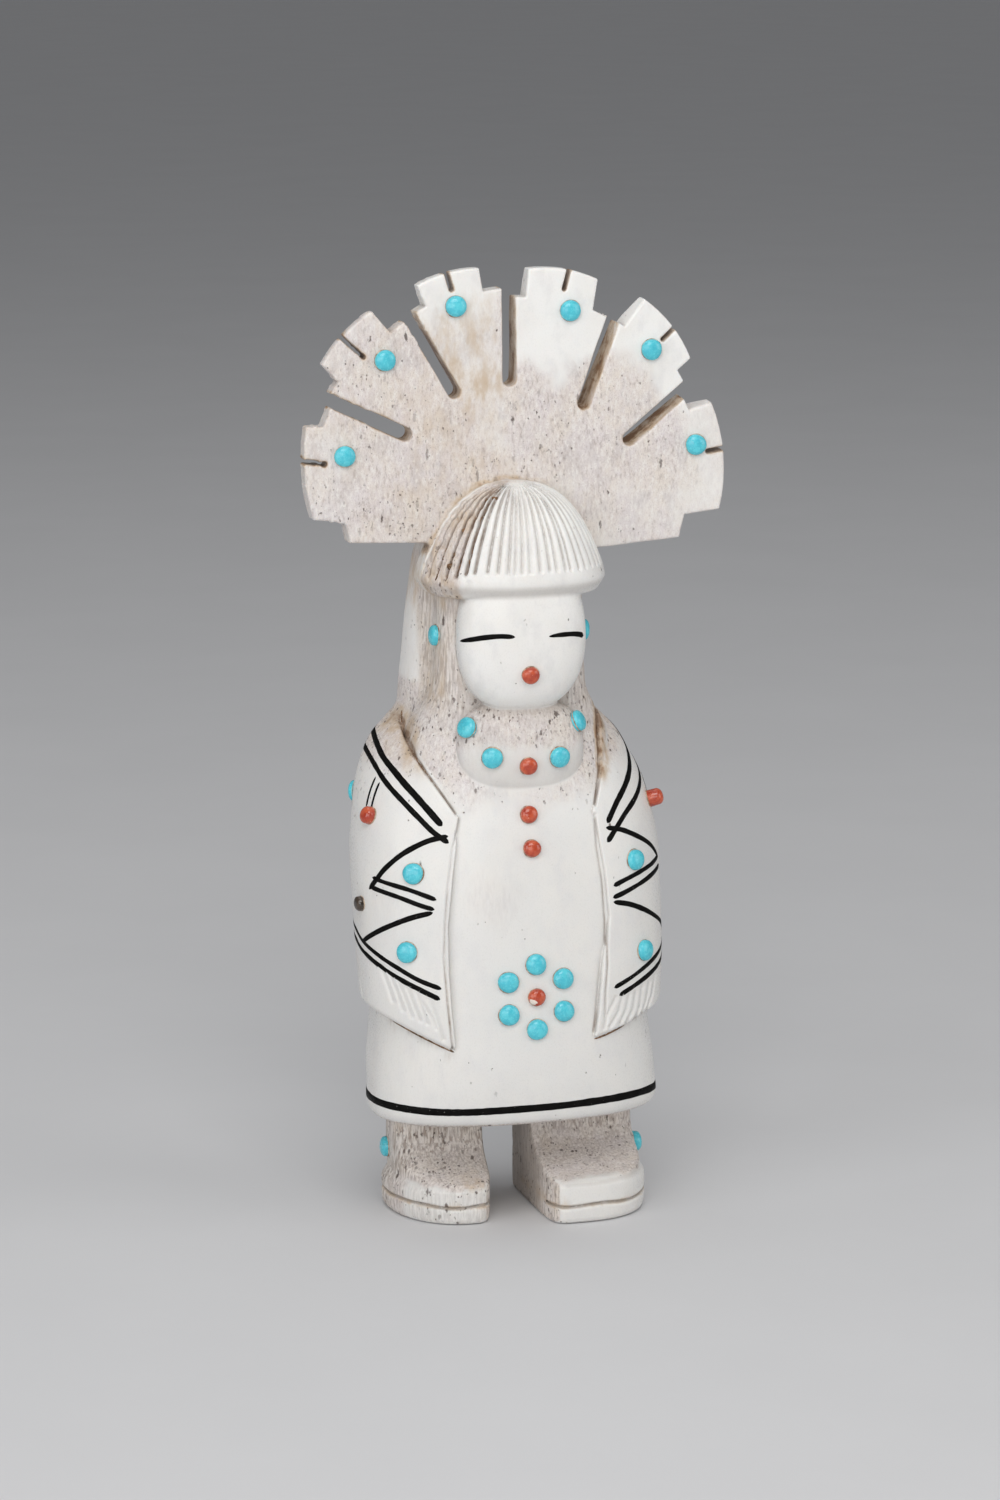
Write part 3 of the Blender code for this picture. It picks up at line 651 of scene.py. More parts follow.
def cap_grooves(x, f, z):
    """Depth of the hair cap's grooves, which run from its rim up towards the crown."""
    turn = cap_turn(x, f, z)
    angles, depths, widths = (np.array(c) for c in zip(*CAP_GROOVES))
    index = np.searchsorted((angles[1:] + angles[:-1]) / 2, turn)
    radius = np.hypot(x, f - 1.2)
    worn = ramp(turn, -0.45, -0.8)
    rough = noise(x, f, z, 0.9) * (0.12 + 0.88 * worn)
    away = np.abs(turn - angles[index]) * radius + 0.04 * rough * worn
    width = np.minimum(widths[index], 0.035 * radius + 0.02)
    depth = depths[index] * np.clip(radius / 5.0, 0.12, 1.0) * (1 + 0.25 * rough * worn)
    rim = CAP_RIM + 0.05 * np.sin(turn * 9) + 0.1 * rough * worn - 0.8 * ramp(turn, -0.5, -1.2)
    reach = ramp(z, rim - 0.1, rim + 0.3) * ramp(z, 78.35, 77.85) * ramp(f, 1.2, 1.8)
    broken = ramp(turn, -0.45, -0.9) * ramp(f, 1.2, 1.8) * ramp(z, 67.0, 68.5)
    ragged = 0.20 * broken * np.maximum(noise(x, f, z, 0.55) + 0.2, 0)
    return depth * reach * valley(away, width) + ragged


def beyond_fold(x, z, points):
    """Whether a point is further out than a fold's line at its height."""
    out, heights = zip(*points[::-1])
    return np.abs(x) > np.interp(z, heights, np.abs(out))


def front_grooves(x, f, z):
    """Depth of the lapels' grooves and of the fringe's in front."""
    cut = np.zeros(x.shape)
    for points, start_depth, end_depth, width in GROOVES:
        xs, zs = zip(*points)
        near = (f > GROOVES_BACK) & (x > min(xs) - 1) & (x < max(xs) + 1)
        near &= (z > min(zs) - 1) & (z < max(zs) + 1)
        if near.any():
            d, share = polyline_distance(x[near], z[near], points)
            depth = start_depth + (end_depth - start_depth) * share
            cut[near] = np.maximum(cut[near], depth * valley(d, width))
    return cut


def fold_grooves(x, f, z):
    """Depth of the collar's folds, wide outwards and steep inwards."""
    cut = np.zeros(x.shape)
    for points, start_depth, end_depth in FOLDS:
        near = (f > GROOVES_BACK) & (x * points[0][0] > 0) & (z > 43.4) & (z < 54.4)
        if near.any():
            d, share = polyline_distance(x[near], z[near], points)
            depth = (start_depth + (end_depth - start_depth) * share) * ramp(share, 0.0, 0.12)
            outside = beyond_fold(x[near], z[near], points)
            cut[near] = depth * valley(d, np.where(outside, FOLD_WIDE - 0.3 * share, FOLD_STEEP))
    return cut


def fringe_grooves(x, f, z):
    """Depth of the fringe's grooves round the sides and back, which are a little uneven."""
    cut = np.zeros(x.shape)
    low = robe_low(x, f)
    near = (z > low - 1) & (z < low + 4.5) & (f < 6) & (z < 30)
    if near.any():
        turn = np.degrees(np.arctan2(x[near], f[near] - ROBE_AXIS)) % 360
        first, last, count = FRINGE_BACK
        step = (last - first) / (count - 1)
        above = z[near] - low[near]
        slant = np.where(turn < 180, 1, -1) * above * FRINGE_SLANT
        place = (turn - slant - first) / step
        index = np.round(place)
        side = 0.18 * np.sin(index * 2.3)
        radius = np.hypot(x[near], f[near] - ROBE_AXIS)
        away = np.abs(place - index - side) * math.radians(step) * radius
        top = 3.3 + 0.5 * np.sin(index * 1.7)
        depth = FRINGE_DEEP * ramp(above, top, top - 1.2) * ((index >= 0) & (index < count))
        cut[near] = depth * valley(away, FRINGE_WIDE)
    return cut


def groove_cuts(x, f, z):
    """Depth of the fine grooves cut in the robe, its collar and fringes."""
    return highest(front_grooves(x, f, z), fold_grooves(x, f, z), fringe_grooves(x, f, z))


def feet(x, f, z):
    """Distance to both feet and legs."""
    return np.minimum(*(foot(form, leg, x, f, z) for form, leg in zip(FEET, LEGS)))


def body(x, f, z):
    """Distance to the body, raised a little where the dress's front panel is."""
    d = level_ends(oval(BODY_FINE, BODY_POWER, x, f, z), BODY_FINE, z, 0.35)
    panel = ramp(z, 45.4, 43.4) * ramp(f, 0, 3) * ramp(z, 13.0, 16.0)
    return d - 0.06 * panel


def hair(x, f, z):
    """Distance to the hair behind the face."""
    return level_ends(oval(HAIR_FINE, HAIR_POWER, x, f, z), HAIR_FINE, z)


# The carving's forms: lowest and highest level where each counts, its distance, and how wide it
# blends into the forms before it
FORMS = (
    (-9, 16, feet, 0.4),
    (-9, 80, body, 0.4),
    (17, 57, robe, 0.12),
    (47, 81, hair, 0.7),
    (42, 73, lambda *place: blob(BIB, *place), 0.12),
    (42, 73, lambda *place: blob(FACE, *place), 0.45),
    (64, 81, cap, 0.3),
    (67, 120, fan, 0.5),
)


def carving(x, f, z):
    """Distance to the carving's surface in millimetres, below 0 inside it."""
    d = np.full(x.shape, OUTSIDE)
    for low, high, form, blend in FORMS:
        near = (z > low) & (z < high)
        if near.any():
            d[near] = smooth_min(d[near], form(x[near], f[near], z[near]), blend)
    return d + groove_cuts(x, f, z) + 0.045 * noise(x, f, z, 3.7) * ramp(z, 2.0, 4.0)


# Grid steps along a block's side, and how many points and blocks are worked out at once
BLOCK = 6
POINT_BATCH = 400000
BLOCK_BATCH = 2500
GRID = 0.17
# The grid's reach in x, forward and height
GRID_REACH = ((-24.6, 24.6), (-13.0, 13.0), (-0.7, 101.5))
# Stretch of x where its steps are shorter, and their share of the usual step
GRID_FINE = (-10.6, 10.6, 0.66)
FACES_MOST = 190000


def evaluate(points):
    """The carving's distance at points, a batch at a time to spare memory."""
    found = np.empty(len(points), np.float32)
    for start in range(0, len(points), POINT_BATCH):
        part = points[start : start + POINT_BATCH]
        found[start : start + len(part)] = carving(*part.T.astype(np.float64))
    return found


def grid_line(low, high, step, fine):
    """Places of the grid's nodes along an axis, closer together within the fine stretch."""
    places = [low]
    while places[-1] < high or (len(places) - 1) % BLOCK:
        close = fine and fine[0] < places[-1] < fine[1]
        places.append(places[-1] + (step * fine[2] if close else step))
    return np.array(places)


def sparse_field(lines):
    """Dense array of distances, worked out only in the blocks that the surface crosses."""
    counts = [(len(line) - 1) // BLOCK for line in lines]
    centres = [(line[:-1:BLOCK] + line[BLOCK::BLOCK]) / 2 for line in lines]
    grid = np.stack(np.meshgrid(*centres, indexing="ij"), -1).reshape(-1, 3)
    rough = evaluate(grid)
    near = np.flatnonzero(np.abs(rough) < GRID * BLOCK * 1.05 + 0.2)
    field = np.empty([n * BLOCK + 1 for n in counts], np.float32)
    blocks = rough.reshape(counts)
    for axis in range(3):
        blocks = np.repeat(blocks, BLOCK, axis)
    field[:-1, :-1, :-1] = blocks
    field[-1] = field[:, -1] = field[:, :, -1] = OUTSIDE
    steps = np.arange(BLOCK + 1)
    offsets = np.stack(np.meshgrid(steps, steps, steps, indexing="ij"), -1).reshape(-1, 3)
    corners = np.stack(np.unravel_index(near, counts), -1) * BLOCK
    for start in range(0, len(corners), BLOCK_BATCH):
        nodes = (corners[start : start + BLOCK_BATCH, None, :] + offsets[None]).reshape(-1, 3)
        values = evaluate(np.stack([line[nodes[:, i]] for i, line in enumerate(lines)], 1))
        field[tuple(nodes.T)] = values
    return field


def unit(vectors):
    """The same directions, one unit long."""
    return vectors / np.maximum(np.linalg.norm(vectors, axis=1), 1e-9)[:, None]


def net_cells(inside):
    """Cells that the surface crosses, and each cell's number in that list, or -1."""
    shape = [n - 1 for n in inside.shape]
    total = np.zeros(shape, np.int8)
    for corner in CORNERS:
        total += inside[tuple(slice(c, c + n) for c, n in zip(corner, shape))]
    cells = np.argwhere((total > 0) & (total < len(CORNERS)))
    index = np.full(shape, -1, np.int32)
    index[tuple(cells.T)] = np.arange(len(cells))
    return cells, index


def net_points(field, cells):
    """One point in each cell: the mean of where the surface crosses the cell's edges."""
    sums = np.zeros((len(cells), 3))
    counts = np.zeros(len(cells))
    for axis, along in enumerate(np.eye(3, dtype=int)):
        for corner in CORNERS[CORNERS[:, axis] == 0]:
            a = cells + corner
            start, end = field[tuple(a.T)], field[tuple((a + along).T)]
            cross = (start < 0) != (end < 0)
            t = start[cross] / (start[cross] - end[cross])
            sums[cross] += a[cross] + t[:, None] * along
            counts[cross] += 1
    return sums / counts[:, None]


def surface_net(field, lines):
    """Quads round the surface of a field, with one point in each cell that it crosses, and
    the direction outwards at each point."""
    inside = field < 0
    cells, index = net_cells(inside)
    points = net_points(field, cells)
    for i, line in enumerate(lines):
        points[:, i] = np.interp(points[:, i], np.arange(len(line)), line)
    outward = np.zeros((len(cells), 3))
    for corner in CORNERS:
        outward += field[tuple((cells + corner).T)][:, None] * (corner * 2 - 1)
    outward /= np.stack([np.diff(line)[cells[:, i]] for i, line in enumerate(lines)], 1)
    quads = []
    axes = np.eye(3, dtype=int)
    for axis in range(3):
        sides = [(axis + 1) % 3, (axis + 2) % 3]
        edges = np.argwhere(np.diff(inside, axis=axis))
        across = edges[:, sides]
        within = (across > 0) & (across < np.array(index.shape)[sides])
        edges = edges[within.all(axis=1)]
        found = []
        for i, j in ((0, 0), (1, 0), (1, 1), (0, 1)):
            e = edges - axes[sides[0]] * i - axes[sides[1]] * j
            found.append(index[tuple(e.T)])
        found = np.stack(found, 1)
        rising = inside[tuple(edges.T)]
        quads.append(np.where(rising[:, None], found, found[:, ::-1]))
    return points, unit(outward), np.concatenate(quads)


def gradient(points, reach=0.05):
    """Unit direction out of the carving at points."""
    slopes = [evaluate(points + move) - evaluate(points - move) for move in np.eye(3) * reach]
    return unit(np.stack(slopes, 1).astype(float))


def settle(points, outward, most=0.1):
    """Moves points onto the carving's surface."""
    away = np.clip(evaluate(points), -most, most)
    return points - outward * away[:, None]


def to_world(points):
    """Metres in the part's frame from millimetres (x, forward, up)."""
    x, f, z = np.asarray(points, float).T
    return np.stack([x - MIDDLE_SHIFT, -f, z], 1) * MM


def from_world(points):
    """The other way round."""
    x, y, z = np.asarray(points, float).T
    return np.stack([x / MM + MIDDLE_SHIFT, -y / MM, z / MM], 1)


def add_object(name, data, place=(0, 0, 0), aim=None):
    """Adds an object to the scene, turned to its aim if it has one."""
    made = bpy.data.objects.new(name, data)
    bpy.context.scene.collection.objects.link(made)
    made.location = place
    if aim is not None:
        made.rotation_euler = (Vector(aim) - Vector(place)).to_track_quat("-Z", "Y").to_euler()
    return made


def add_mesh(name, points, faces):
    """Object with smooth faces from points in metres."""
    mesh = bpy.data.meshes.new(name)
    faces = [np.asarray(f) for f in faces] if isinstance(faces, list) else np.asarray(faces)
    if isinstance(faces, np.ndarray):
        sides = faces.shape[1]
        mesh.vertices.add(len(points))
        mesh.vertices.foreach_set("co", np.asarray(points, np.float32).ravel())
        mesh.loops.add(faces.size)
        mesh.loops.foreach_set("vertex_index", faces.astype(np.int32).ravel())
        mesh.polygons.add(len(faces))
        mesh.polygons.foreach_set("loop_start", np.arange(0, faces.size, sides, dtype=np.int32))
        mesh.update(calc_edges=True)
    else:
        mesh.from_pydata([tuple(p) for p in points], [], [tuple(map(int, f)) for f in faces])
    mesh.validate()
    mesh.shade_smooth()
    return add_object(name, mesh)


def carve():
    """The carving's mesh: a fine net on the surface, then fewer faces where it is plain."""
    lines = [grid_line(*reach, GRID, fine) for reach, fine in zip(GRID_REACH, (GRID_FINE, None, None))]
    field = sparse_field(lines)
    points, outward, quads = surface_net(field, lines)
    points = settle(points, outward)
    piece = add_mesh("carving_surface", to_world(points), quads[:, ::-1])
    thin = piece.modifiers.new("fewer_faces", "DECIMATE")
    thin.ratio = min(1.0, FACES_MOST / (2 * len(quads)))
    bpy.context.view_layer.update()
    seen = piece.evaluated_get(bpy.context.evaluated_depsgraph_get())
    mesh = bpy.data.meshes.new_from_object(seen)
    piece.modifiers.clear()
    old, piece.data = piece.data, mesh
    bpy.data.meshes.remove(old)
    mesh.name = "carving_surface"
    co = np.empty(len(mesh.vertices) * 3, np.float32)
    mesh.vertices.foreach_get("co", co)
    points = from_world(co.reshape(-1, 3))
    outward = gradient(points)
    points = settle(points, outward, 0.04)
    mesh.vertices.foreach_set("co", to_world(points).astype(np.float32).ravel())
    mesh.shade_smooth()
    mesh.normals_split_custom_set_from_vertices(outward * (1, -1, 1))
    mesh.update()
    return piece, points, outward


# Black lines inked in fine cuts round the robe: width, how far each end tapers, and points
# (angle from the front, height) round the body's axis
ROBE_LINES = (
    # Collar upper
    (0.72, 0.5, (
        (-49.0, 43.3), (-57.1, 44.85), (-66.5, 46.4), (-78.1, 47.9), (-89.8, 49.1), (-101.0, 50.2),
        (-112.0, 50.9), (-125.0, 51.3), (-145.0, 51.3), (-165.0, 51.0), (180.0, 50.9), (165.0, 51.0),
        (145.0, 51.3), (128.0, 51.5), (114.0, 51.3), (102.7, 50.7), (96.8, 49.9), (92.1, 48.9),
        (84.2, 47.95), (74.9, 46.9), (66.1, 45.85), (56.7, 44.5), (47.3, 42.6),
    )),
    # Collar lower
    (0.62, 0.5, (
        (-44.9, 41.6), (-52.0, 42.6), (-61.1, 44.2), (-71.3, 45.8), (-83.5, 47.3), (-95.4, 48.5),
        (-108.4, 49.3), (-125.0, 49.7), (-145.0, 49.6), (-165.0, 49.3), (180.0, 49.2), (165.0, 49.3),
        (145.0, 49.6), (128.0, 49.6), (114.0, 49.2), (104.0, 48.5), (96.0, 47.6), (89.5, 46.7),
        (80.5, 45.7), (69.5, 44.5), (59.5, 43.3), (51.6, 42.0), (44.6, 40.7),
    )),
    # Left zigzag upper
    (0.60, 0.8, (
        (-45.6, 42.3), (-54.3, 41.7), (-62.4, 40.4), (-68.8, 38.7), (-72.3, 37.4), (-75.7, 36.2),
    )),
    # Left middle upper
    (0.52, 0.5, ((-74.5, 37.5), (-70.1, 37.3), (-58.5, 36.75), (-47.3, 35.85))),
    # Left middle lower
    (0.52, 0.5, ((-75.0, 36.5), (-63.0, 35.95), (-53.1, 35.2), (-47.7, 34.85))),
    # Left zigzag lower
    (0.58, 0.8, ((-48.2, 34.55), (-56.2, 33.9), (-65.1, 32.75), (-73.1, 31.5), (-80.2, 30.3))),
    # Hem upper
    (0.52, 0.5, (
        (-43.0, 26.7), (-51.7, 27.5), (-60.9, 28.65), (-71.1, 29.75), (-79.7, 30.5), (-90.0, 31.3),
        (-102.0, 31.5), (-120.0, 31.1), (-145.0, 30.3), (180.0, 29.7), (145.0, 30.1), (120.0, 30.6),
        (102.0, 30.7), (90.0, 30.3), (81.0, 29.4), (73.0, 28.6), (63.1, 27.85), (53.7, 27.05),
        (45.8, 26.3), (38.3, 25.65),
    )),
    # Hem lower
    (0.58, 0.5, (
        (-43.4, 25.6), (-51.5, 26.55), (-60.7, 27.6), (-72.8, 28.9), (-83.5, 29.7), (-90.5, 30.2),
        (-102.0, 30.4), (-120.0, 30.0), (-145.0, 29.2), (180.0, 28.6), (145.0, 29.0), (120.0, 29.5),
        (102.0, 29.6), (90.0, 29.1), (81.0, 28.2), (73.0, 27.4), (62.6, 26.65), (53.3, 25.9),
        (45.5, 25.2), (40.6, 24.75),
    )),
    # Left short 1
    (0.32, 0.4, ((-88.1, 47.3), (-86.1, 44.2))),
    # Left short 2
    (0.32, 0.4, ((-84.2, 46.9), (-82.5, 43.8))),
    # Right zigzag upper
    (0.60, 0.8, ((45.9, 42.15), (53.1, 41.75), (58.6, 41.1), (65.1, 40.1), (70.0, 39.1), (74.6, 37.7))),
    # Right middle upper
    (0.54, 0.5, ((74.6, 37.9), (67.0, 37.5), (60.5, 37.2), (50.3, 36.65), (43.4, 36.2))),
    # Right middle lower
    (0.54, 0.5, ((75.0, 36.9), (64.5, 36.35), (54.9, 35.75), (47.0, 35.25), (42.2, 35.0))),
    # Right zigzag lower
    (0.58, 0.8, ((42.2, 34.55), (49.8, 34.05), (57.1, 33.2), (64.5, 32.1), (72.0, 30.9), (78.5, 29.6))),
    # Right short 1
    (0.32, 0.4, ((91.4, 46.0), (87.8, 44.1))),
    # Right short 2
    (0.32, 0.4, ((88.4, 45.6), (84.8, 43.4))),
    # Back zigzag left 1
    (0.56, 0.8, ((-104.5, 44.0), (-107.5, 42.0), (-114.0, 39.6), (-124.0, 37.6))),
    # Back middle left
    (0.50, 0.5, ((-124.0, 38.2), (-113.0, 37.4), (-103.0, 36.3))),
    # Back zigzag left 2
    (0.56, 0.8, ((-102.0, 35.6), (-110.0, 34.6), (-119.0, 33.0), (-128.0, 31.2))),
    # Back zigzag right 1
    (0.56, 0.8, ((103.0, 44.0), (107.0, 42.0), (114.0, 39.6), (124.0, 37.6))),
    # Back middle right
    (0.50, 0.5, ((124.0, 38.2), (113.0, 37.4), (103.0, 36.3))),
    # Back zigzag right 2
    (0.56, 0.8, ((102.0, 35.6), (110.0, 34.6), (119.0, 33.0), (128.0, 31.2))),
)
# The line round the skirt's hem
HEM_WIDTH = 0.86
HEM_LINE = (
    (-180.0, 13.5), (-150.0, 13.5), (-120.0, 13.35), (-95.0, 13.3), (-86.0, 13.35), (-72.7, 13.58),
    (-63.5, 13.62), (-54.4, 13.56), (-46.4, 13.48), (-33.8, 13.45), (-19.7, 13.5), (-3.6, 13.52),
    (13.0, 13.55), (28.9, 13.62), (44.3, 13.65), (56.0, 13.62), (70.0, 13.45), (90.0, 13.35),
    (120.0, 13.4), (150.0, 13.5), (180.0, 13.5),
)
# The eyes, seen from the front: width, how far each end tapers, points (x, height)
EYES = (
    (0.56, (2.2, 1.0), ((-6.70, 62.33), (-5.98, 62.67), (-4.7, 62.98), (-3.24, 63.12), (-1.71, 63.02))),
    (0.57, (2.2, 0.4), ((1.94, 62.88), (3.15, 62.96), (4.57, 62.92), (5.5, 62.75), (6.1, 62.5))),
)
# Dirt in the folds of the collar, and painted shadow with dirt under the robe's two points, seen
# from the front: width, how far each end tapers, points (x, height)
DIRT_AND_SHADOW_FRONT = (
    (0.32, (0.6, 5.0), FOLD_LEFT[:-1]),
    (0.24, (1.5, 5.0), FOLD_RIGHT[:-1]),
    # Painted contact shadow with dirt under the robe's left and right points
    (0.22, (0.4, 4.0), ((-8.5, 19.9), (-9.6, 20.38), (-11.0, 21.05), (-12.6, 21.85), (-13.8, 22.4))),
    (0.22, (0.3, 2.5), ((6.45, 20.38), (7.6, 20.58), (8.8, 20.88), (10.2, 21.23))),
)
# Dirt in the hair cap's grooves: how far round, height where it starts and ends, width
DIRT_CAP_TAPER = (2.5, 1.0)
DIRT_CAP = (
    (-0.732, 77.5, 69.6, 0.20),
    (-0.851, 77.0, 69.2, 0.22),
    (-0.996, 75.6, 68.8, 0.20),
    (-1.164, 74.4, 68.6, 0.18),
)


# Points are moved onto the carving from outside it: how far out they start round the body and in
# front, how many moves there are, and each move's share of the distance left
START_ROUND = 24.0
START_FRONT = 16.0
MARCH_ROUNDS = 40
MARCH_SHARE = 0.85
# Points worked out between two given ones, and distance between a strip's points
SPAN_POINTS = 24
STRIP_STEP = 0.22


def run_along(points):
    """How far along a path each of its points is."""
    return np.concatenate([[0], np.cumsum(np.linalg.norm(np.diff(points, axis=0), axis=1))])


def smooth_path(points, step):
    """Points evenly spaced on a smooth curve through the given ones."""
    p = np.array(points, float)
    p = np.vstack([2 * p[0] - p[1], p, 2 * p[-1] - p[-2]])
    fine = []
    for i in range(1, len(p) - 2):
        t = np.linspace(0, 1, SPAN_POINTS, endpoint=False)[:, None]
        a, b, c, d = p[i - 1], p[i], p[i + 1], p[i + 2]
        fine.append(
            0.5 * (2 * b + (c - a) * t + (2 * a - 5 * b + 4 * c - d) * t**2 + (3 * b - a - 3 * c + d) * t**3)
        )
    fine = np.vstack(fine + [p[-2:-1]])
    length = run_along(fine)
    count = max(int(length[-1] / step), 6)
    at = np.linspace(0, length[-1], count + 1)
    return np.stack([np.interp(at, length, fine[:, k]) for k in range(fine.shape[1])], 1)


def onto_carving(points, direction):
    """Where lines from points along a direction first meet the carving."""
    for _ in range(MARCH_ROUNDS):
        points = points + direction * (evaluate(points) * MARCH_SHARE)[:, None]
    return points


def polar_points(pairs):
    """Points on the carving from angles and heights round the body's axis."""
    turn, heights = np.radians(pairs[:, 0]), pairs[:, 1]
    out = np.stack([np.sin(turn), np.cos(turn), turn * 0], 1)
    axis = np.stack([turn * 0, turn * 0 + ROBE_AXIS, heights], 1)
    return onto_carving(axis + out * START_ROUND, -out)


def front_points(pairs):
    """Points on the carving from places seen from the front."""
    x, heights = np.array(pairs, float).T
    return onto_carving(np.stack([x, x * 0 + START_FRONT, heights], 1), np.array((0.0, -1.0, 0.0)))


def unwound(pairs):
    """Angles without the jump behind, where a line passes 180 degrees."""
    turn = np.degrees(np.unwrap(np.radians([p[0] for p in pairs])))
    return np.stack([turn, [p[1] for p in pairs]], 1)


def row_faces(rows, count, closed=False):
    """Quads between rows of count points. Closed rows are rings."""
    index = np.arange(rows * count).reshape(rows, count)
    if closed:
        index = np.hstack([index, index[:, :1]])
    corners = (index[:-1, :-1], index[:-1, 1:], index[1:, 1:], index[1:, :-1])
    return np.stack([c.ravel() for c in corners], 1)


# Section of a strip: share of its half width and rise over the carving
STRIP_SECTION = ((-1.0, -0.04), (-0.93, 0.012), (0.0, 0.024), (0.93, 0.012), (1.0, -0.04))


def ink_strip(points, width, taper, closed=False):
    """Low rounded strip on the carving along points, tapered at its ends."""
    middle = smooth_path(points, STRIP_STEP)
    middle = middle - gradient(middle) * evaluate(middle)[:, None]
    along = np.gradient(middle, axis=0)
    if closed:
        along[0] = along[-1] = middle[1] - middle[-2]
    side = unit(np.cross(unit(along), gradient(middle, 0.15)))
    run = run_along(middle)
    half = np.full(len(run), width / 2)
    if not closed:
        soft = np.maximum(taper, width / 2)
        share = np.clip(np.minimum(run / soft[0], (run[-1] - run) / soft[1]), 0, 1)
        half = half * np.sqrt(np.clip(1 - (1 - share) ** 2, 0.02, 1))
    half = half * (1 + 0.09 * noise(*middle.T, 1.3) + 0.07 * noise(*middle.T, 0.5))
    rows = []
    for across, lift in STRIP_SECTION:
        row = middle + side * (half * across)[:, None]
        direction = gradient(row, 0.1)
        rows.append(row - direction * evaluate(row)[:, None] + direction * lift)
    return np.concatenate(rows), row_faces(len(rows), len(middle))


def cap_points(turn, high, low):
    """Points down the hair cap at one angle round it."""
    heights = np.linspace(high, low, 14)
    wide, front, _, widest = level(*CAP_FINE[:2], heights)
    across = wide * math.copysign(abs(math.sin(turn)) ** (2 / CAP_POWER), turn)
    along = widest + (front - widest) * math.cos(turn) ** (2 / CAP_POWER)
    return np.stack([across, along, heights], 1)


def join(parts):
    """One list of points and one of faces from several pieces'."""
    points, faces, total = [], [], 0
    for p, f in parts:
        points.append(p)
        faces.append(f + total)
        total += len(p)
    return np.concatenate(points), np.concatenate(faces)


def add_strips(name, strips):
    """One object from several strips."""
    points, faces = join(strips)
    return add_mesh(name, to_world(points), faces)


def ink_pieces():
    """The robe's lines, the hem's line and the eyes, as three pieces."""
    robe_lines = []
    for width, taper, pairs in ROBE_LINES:
        path = smooth_path(unwound(pairs), 0.8)
        robe_lines.append(ink_strip(polar_points(path), width, (taper, taper)))
    hem = ink_strip(polar_points(smooth_path(HEM_LINE, 1.2)), HEM_WIDTH, 0, closed=True)
    eyes = [ink_strip(front_points(points), width, taper) for width, taper, points in EYES]
    return (
        add_strips("robe_lines", robe_lines),
        add_strips("hem_line", [hem]),
        add_strips("eye_lines", eyes),
    )


def dirt_and_shadow_piece():
    """Dirt in the collar's folds and in the hair cap's left grooves, and painted shadow with dirt under the
    robe's points.
    """
    strips = [ink_strip(front_points(points), width, taper) for width, taper, points in DIRT_AND_SHADOW_FRONT]
    for turn, high, low, width in DIRT_CAP:
        strips.append(ink_strip(cap_points(turn, high, low), width, DIRT_CAP_TAPER))
    return add_strips("crease_dirt_and_shadow", strips)


# Stones: kind by the start of the node's name, then width, rise and share standing straight
STONE_KINDS = (
    ("shoulder_coral_left", "coral", 1.85, 1.0, 0.4),
    ("shoulder_coral", "coral", 1.85, 1.6, 0.55),
    ("sleeve_jet", "jet", 1.6, 0.7, 0.4),
    ("coral", "coral", 1.85, 0.78, 0.28),
    ("leg_turquoise_right", "turquoise", 2.22, 1.1, 0.45),
    ("turquoise", "turquoise", 2.22, 0.74, 0.26),
)
STONE_AROUND = 28
STONE_DEEP = 0.85
FILLER_AROUND = 36
FILLER_SEED = 500


def stone_shape(radius, rise, straight, seed):
    """Low polished dome on a straight side, a little uneven, with the seat's level at zero."""
    shoulder = rise * straight
    turns = np.radians(8 + 82 * np.arange(1, 8) / 7.5)
    reach = radius * np.array([0.985, 0.985, *np.cos(turns) ** 0.8])[:, None]
    height = np.array([-STONE_DEEP, shoulder * 0.4, *shoulder + (rise - shoulder) * np.sin(turns)])[:, None]
    rng = np.random.RandomState(seed)
    tilt = rng.uniform(-0.05, 0.05, 2)
    lobes = rng.uniform(-0.02, 0.02, 4)
    a = 2 * np.pi * np.arange(STONE_AROUND) / STONE_AROUND
    reach = reach * (1 + lobes[0] * np.cos(2 * a + lobes[1] * 60) + lobes[2] * np.cos(3 * a + lobes[3] * 60))
    x, y = reach * np.cos(a), reach * np.sin(a)
    z = height + (tilt[0] * x + tilt[1] * y) * np.maximum(height, 0) / rise
    points = np.vstack([np.stack([x, y, z], -1).reshape(-1, 3), (0, 0, rise)])
    around, last = range(STONE_AROUND), (len(height) - 1) * STONE_AROUND
    faces = row_faces(len(height), STONE_AROUND, closed=True).tolist()
    faces += [(last + i, last + (i + 1) % STONE_AROUND, len(points) - 1) for i in around]
    return points, faces + [tuple(reversed(around))]


def setting_shape(radius, seed):
    """Thin uneven fillet of filler round a stone, from its side down to the carving."""
    phase = np.random.RandomState(seed + FILLER_SEED).uniform(0, 6.28, 3)
    a = 2 * np.pi * np.arange(FILLER_AROUND) / FILLER_AROUND
    wide = 0.05 + 0.03 * np.sin(a + phase[0]) + 0.02 * np.sin(3 * a + phase[1])
    rings = []
    for r, z in ((radius + wide, -0.05), (radius + wide * 0.45, 0.03), (radius * 0.96, 0.07)):
        rings.append(np.stack([r * np.cos(a), r * np.sin(a), np.full_like(a, z)], 1))
    return np.concatenate(rings), row_faces(len(rings), FILLER_AROUND, closed=True)


def stone_seats():
    """Where each stone sits on the carving and the way it faces."""
    seats = {}
    for name in sorted(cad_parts):
        if name == "antler_carving":
            continue
        low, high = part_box(name)
        middle = from_world(np.array([(low + high) / 2]))
        outward = gradient(middle, 0.8)
        for _ in range(4):
            middle = middle - outward * evaluate(middle)[:, None]
            outward = gradient(middle, 0.5)
        seats[name] = (middle[0], outward[0])
    return seats


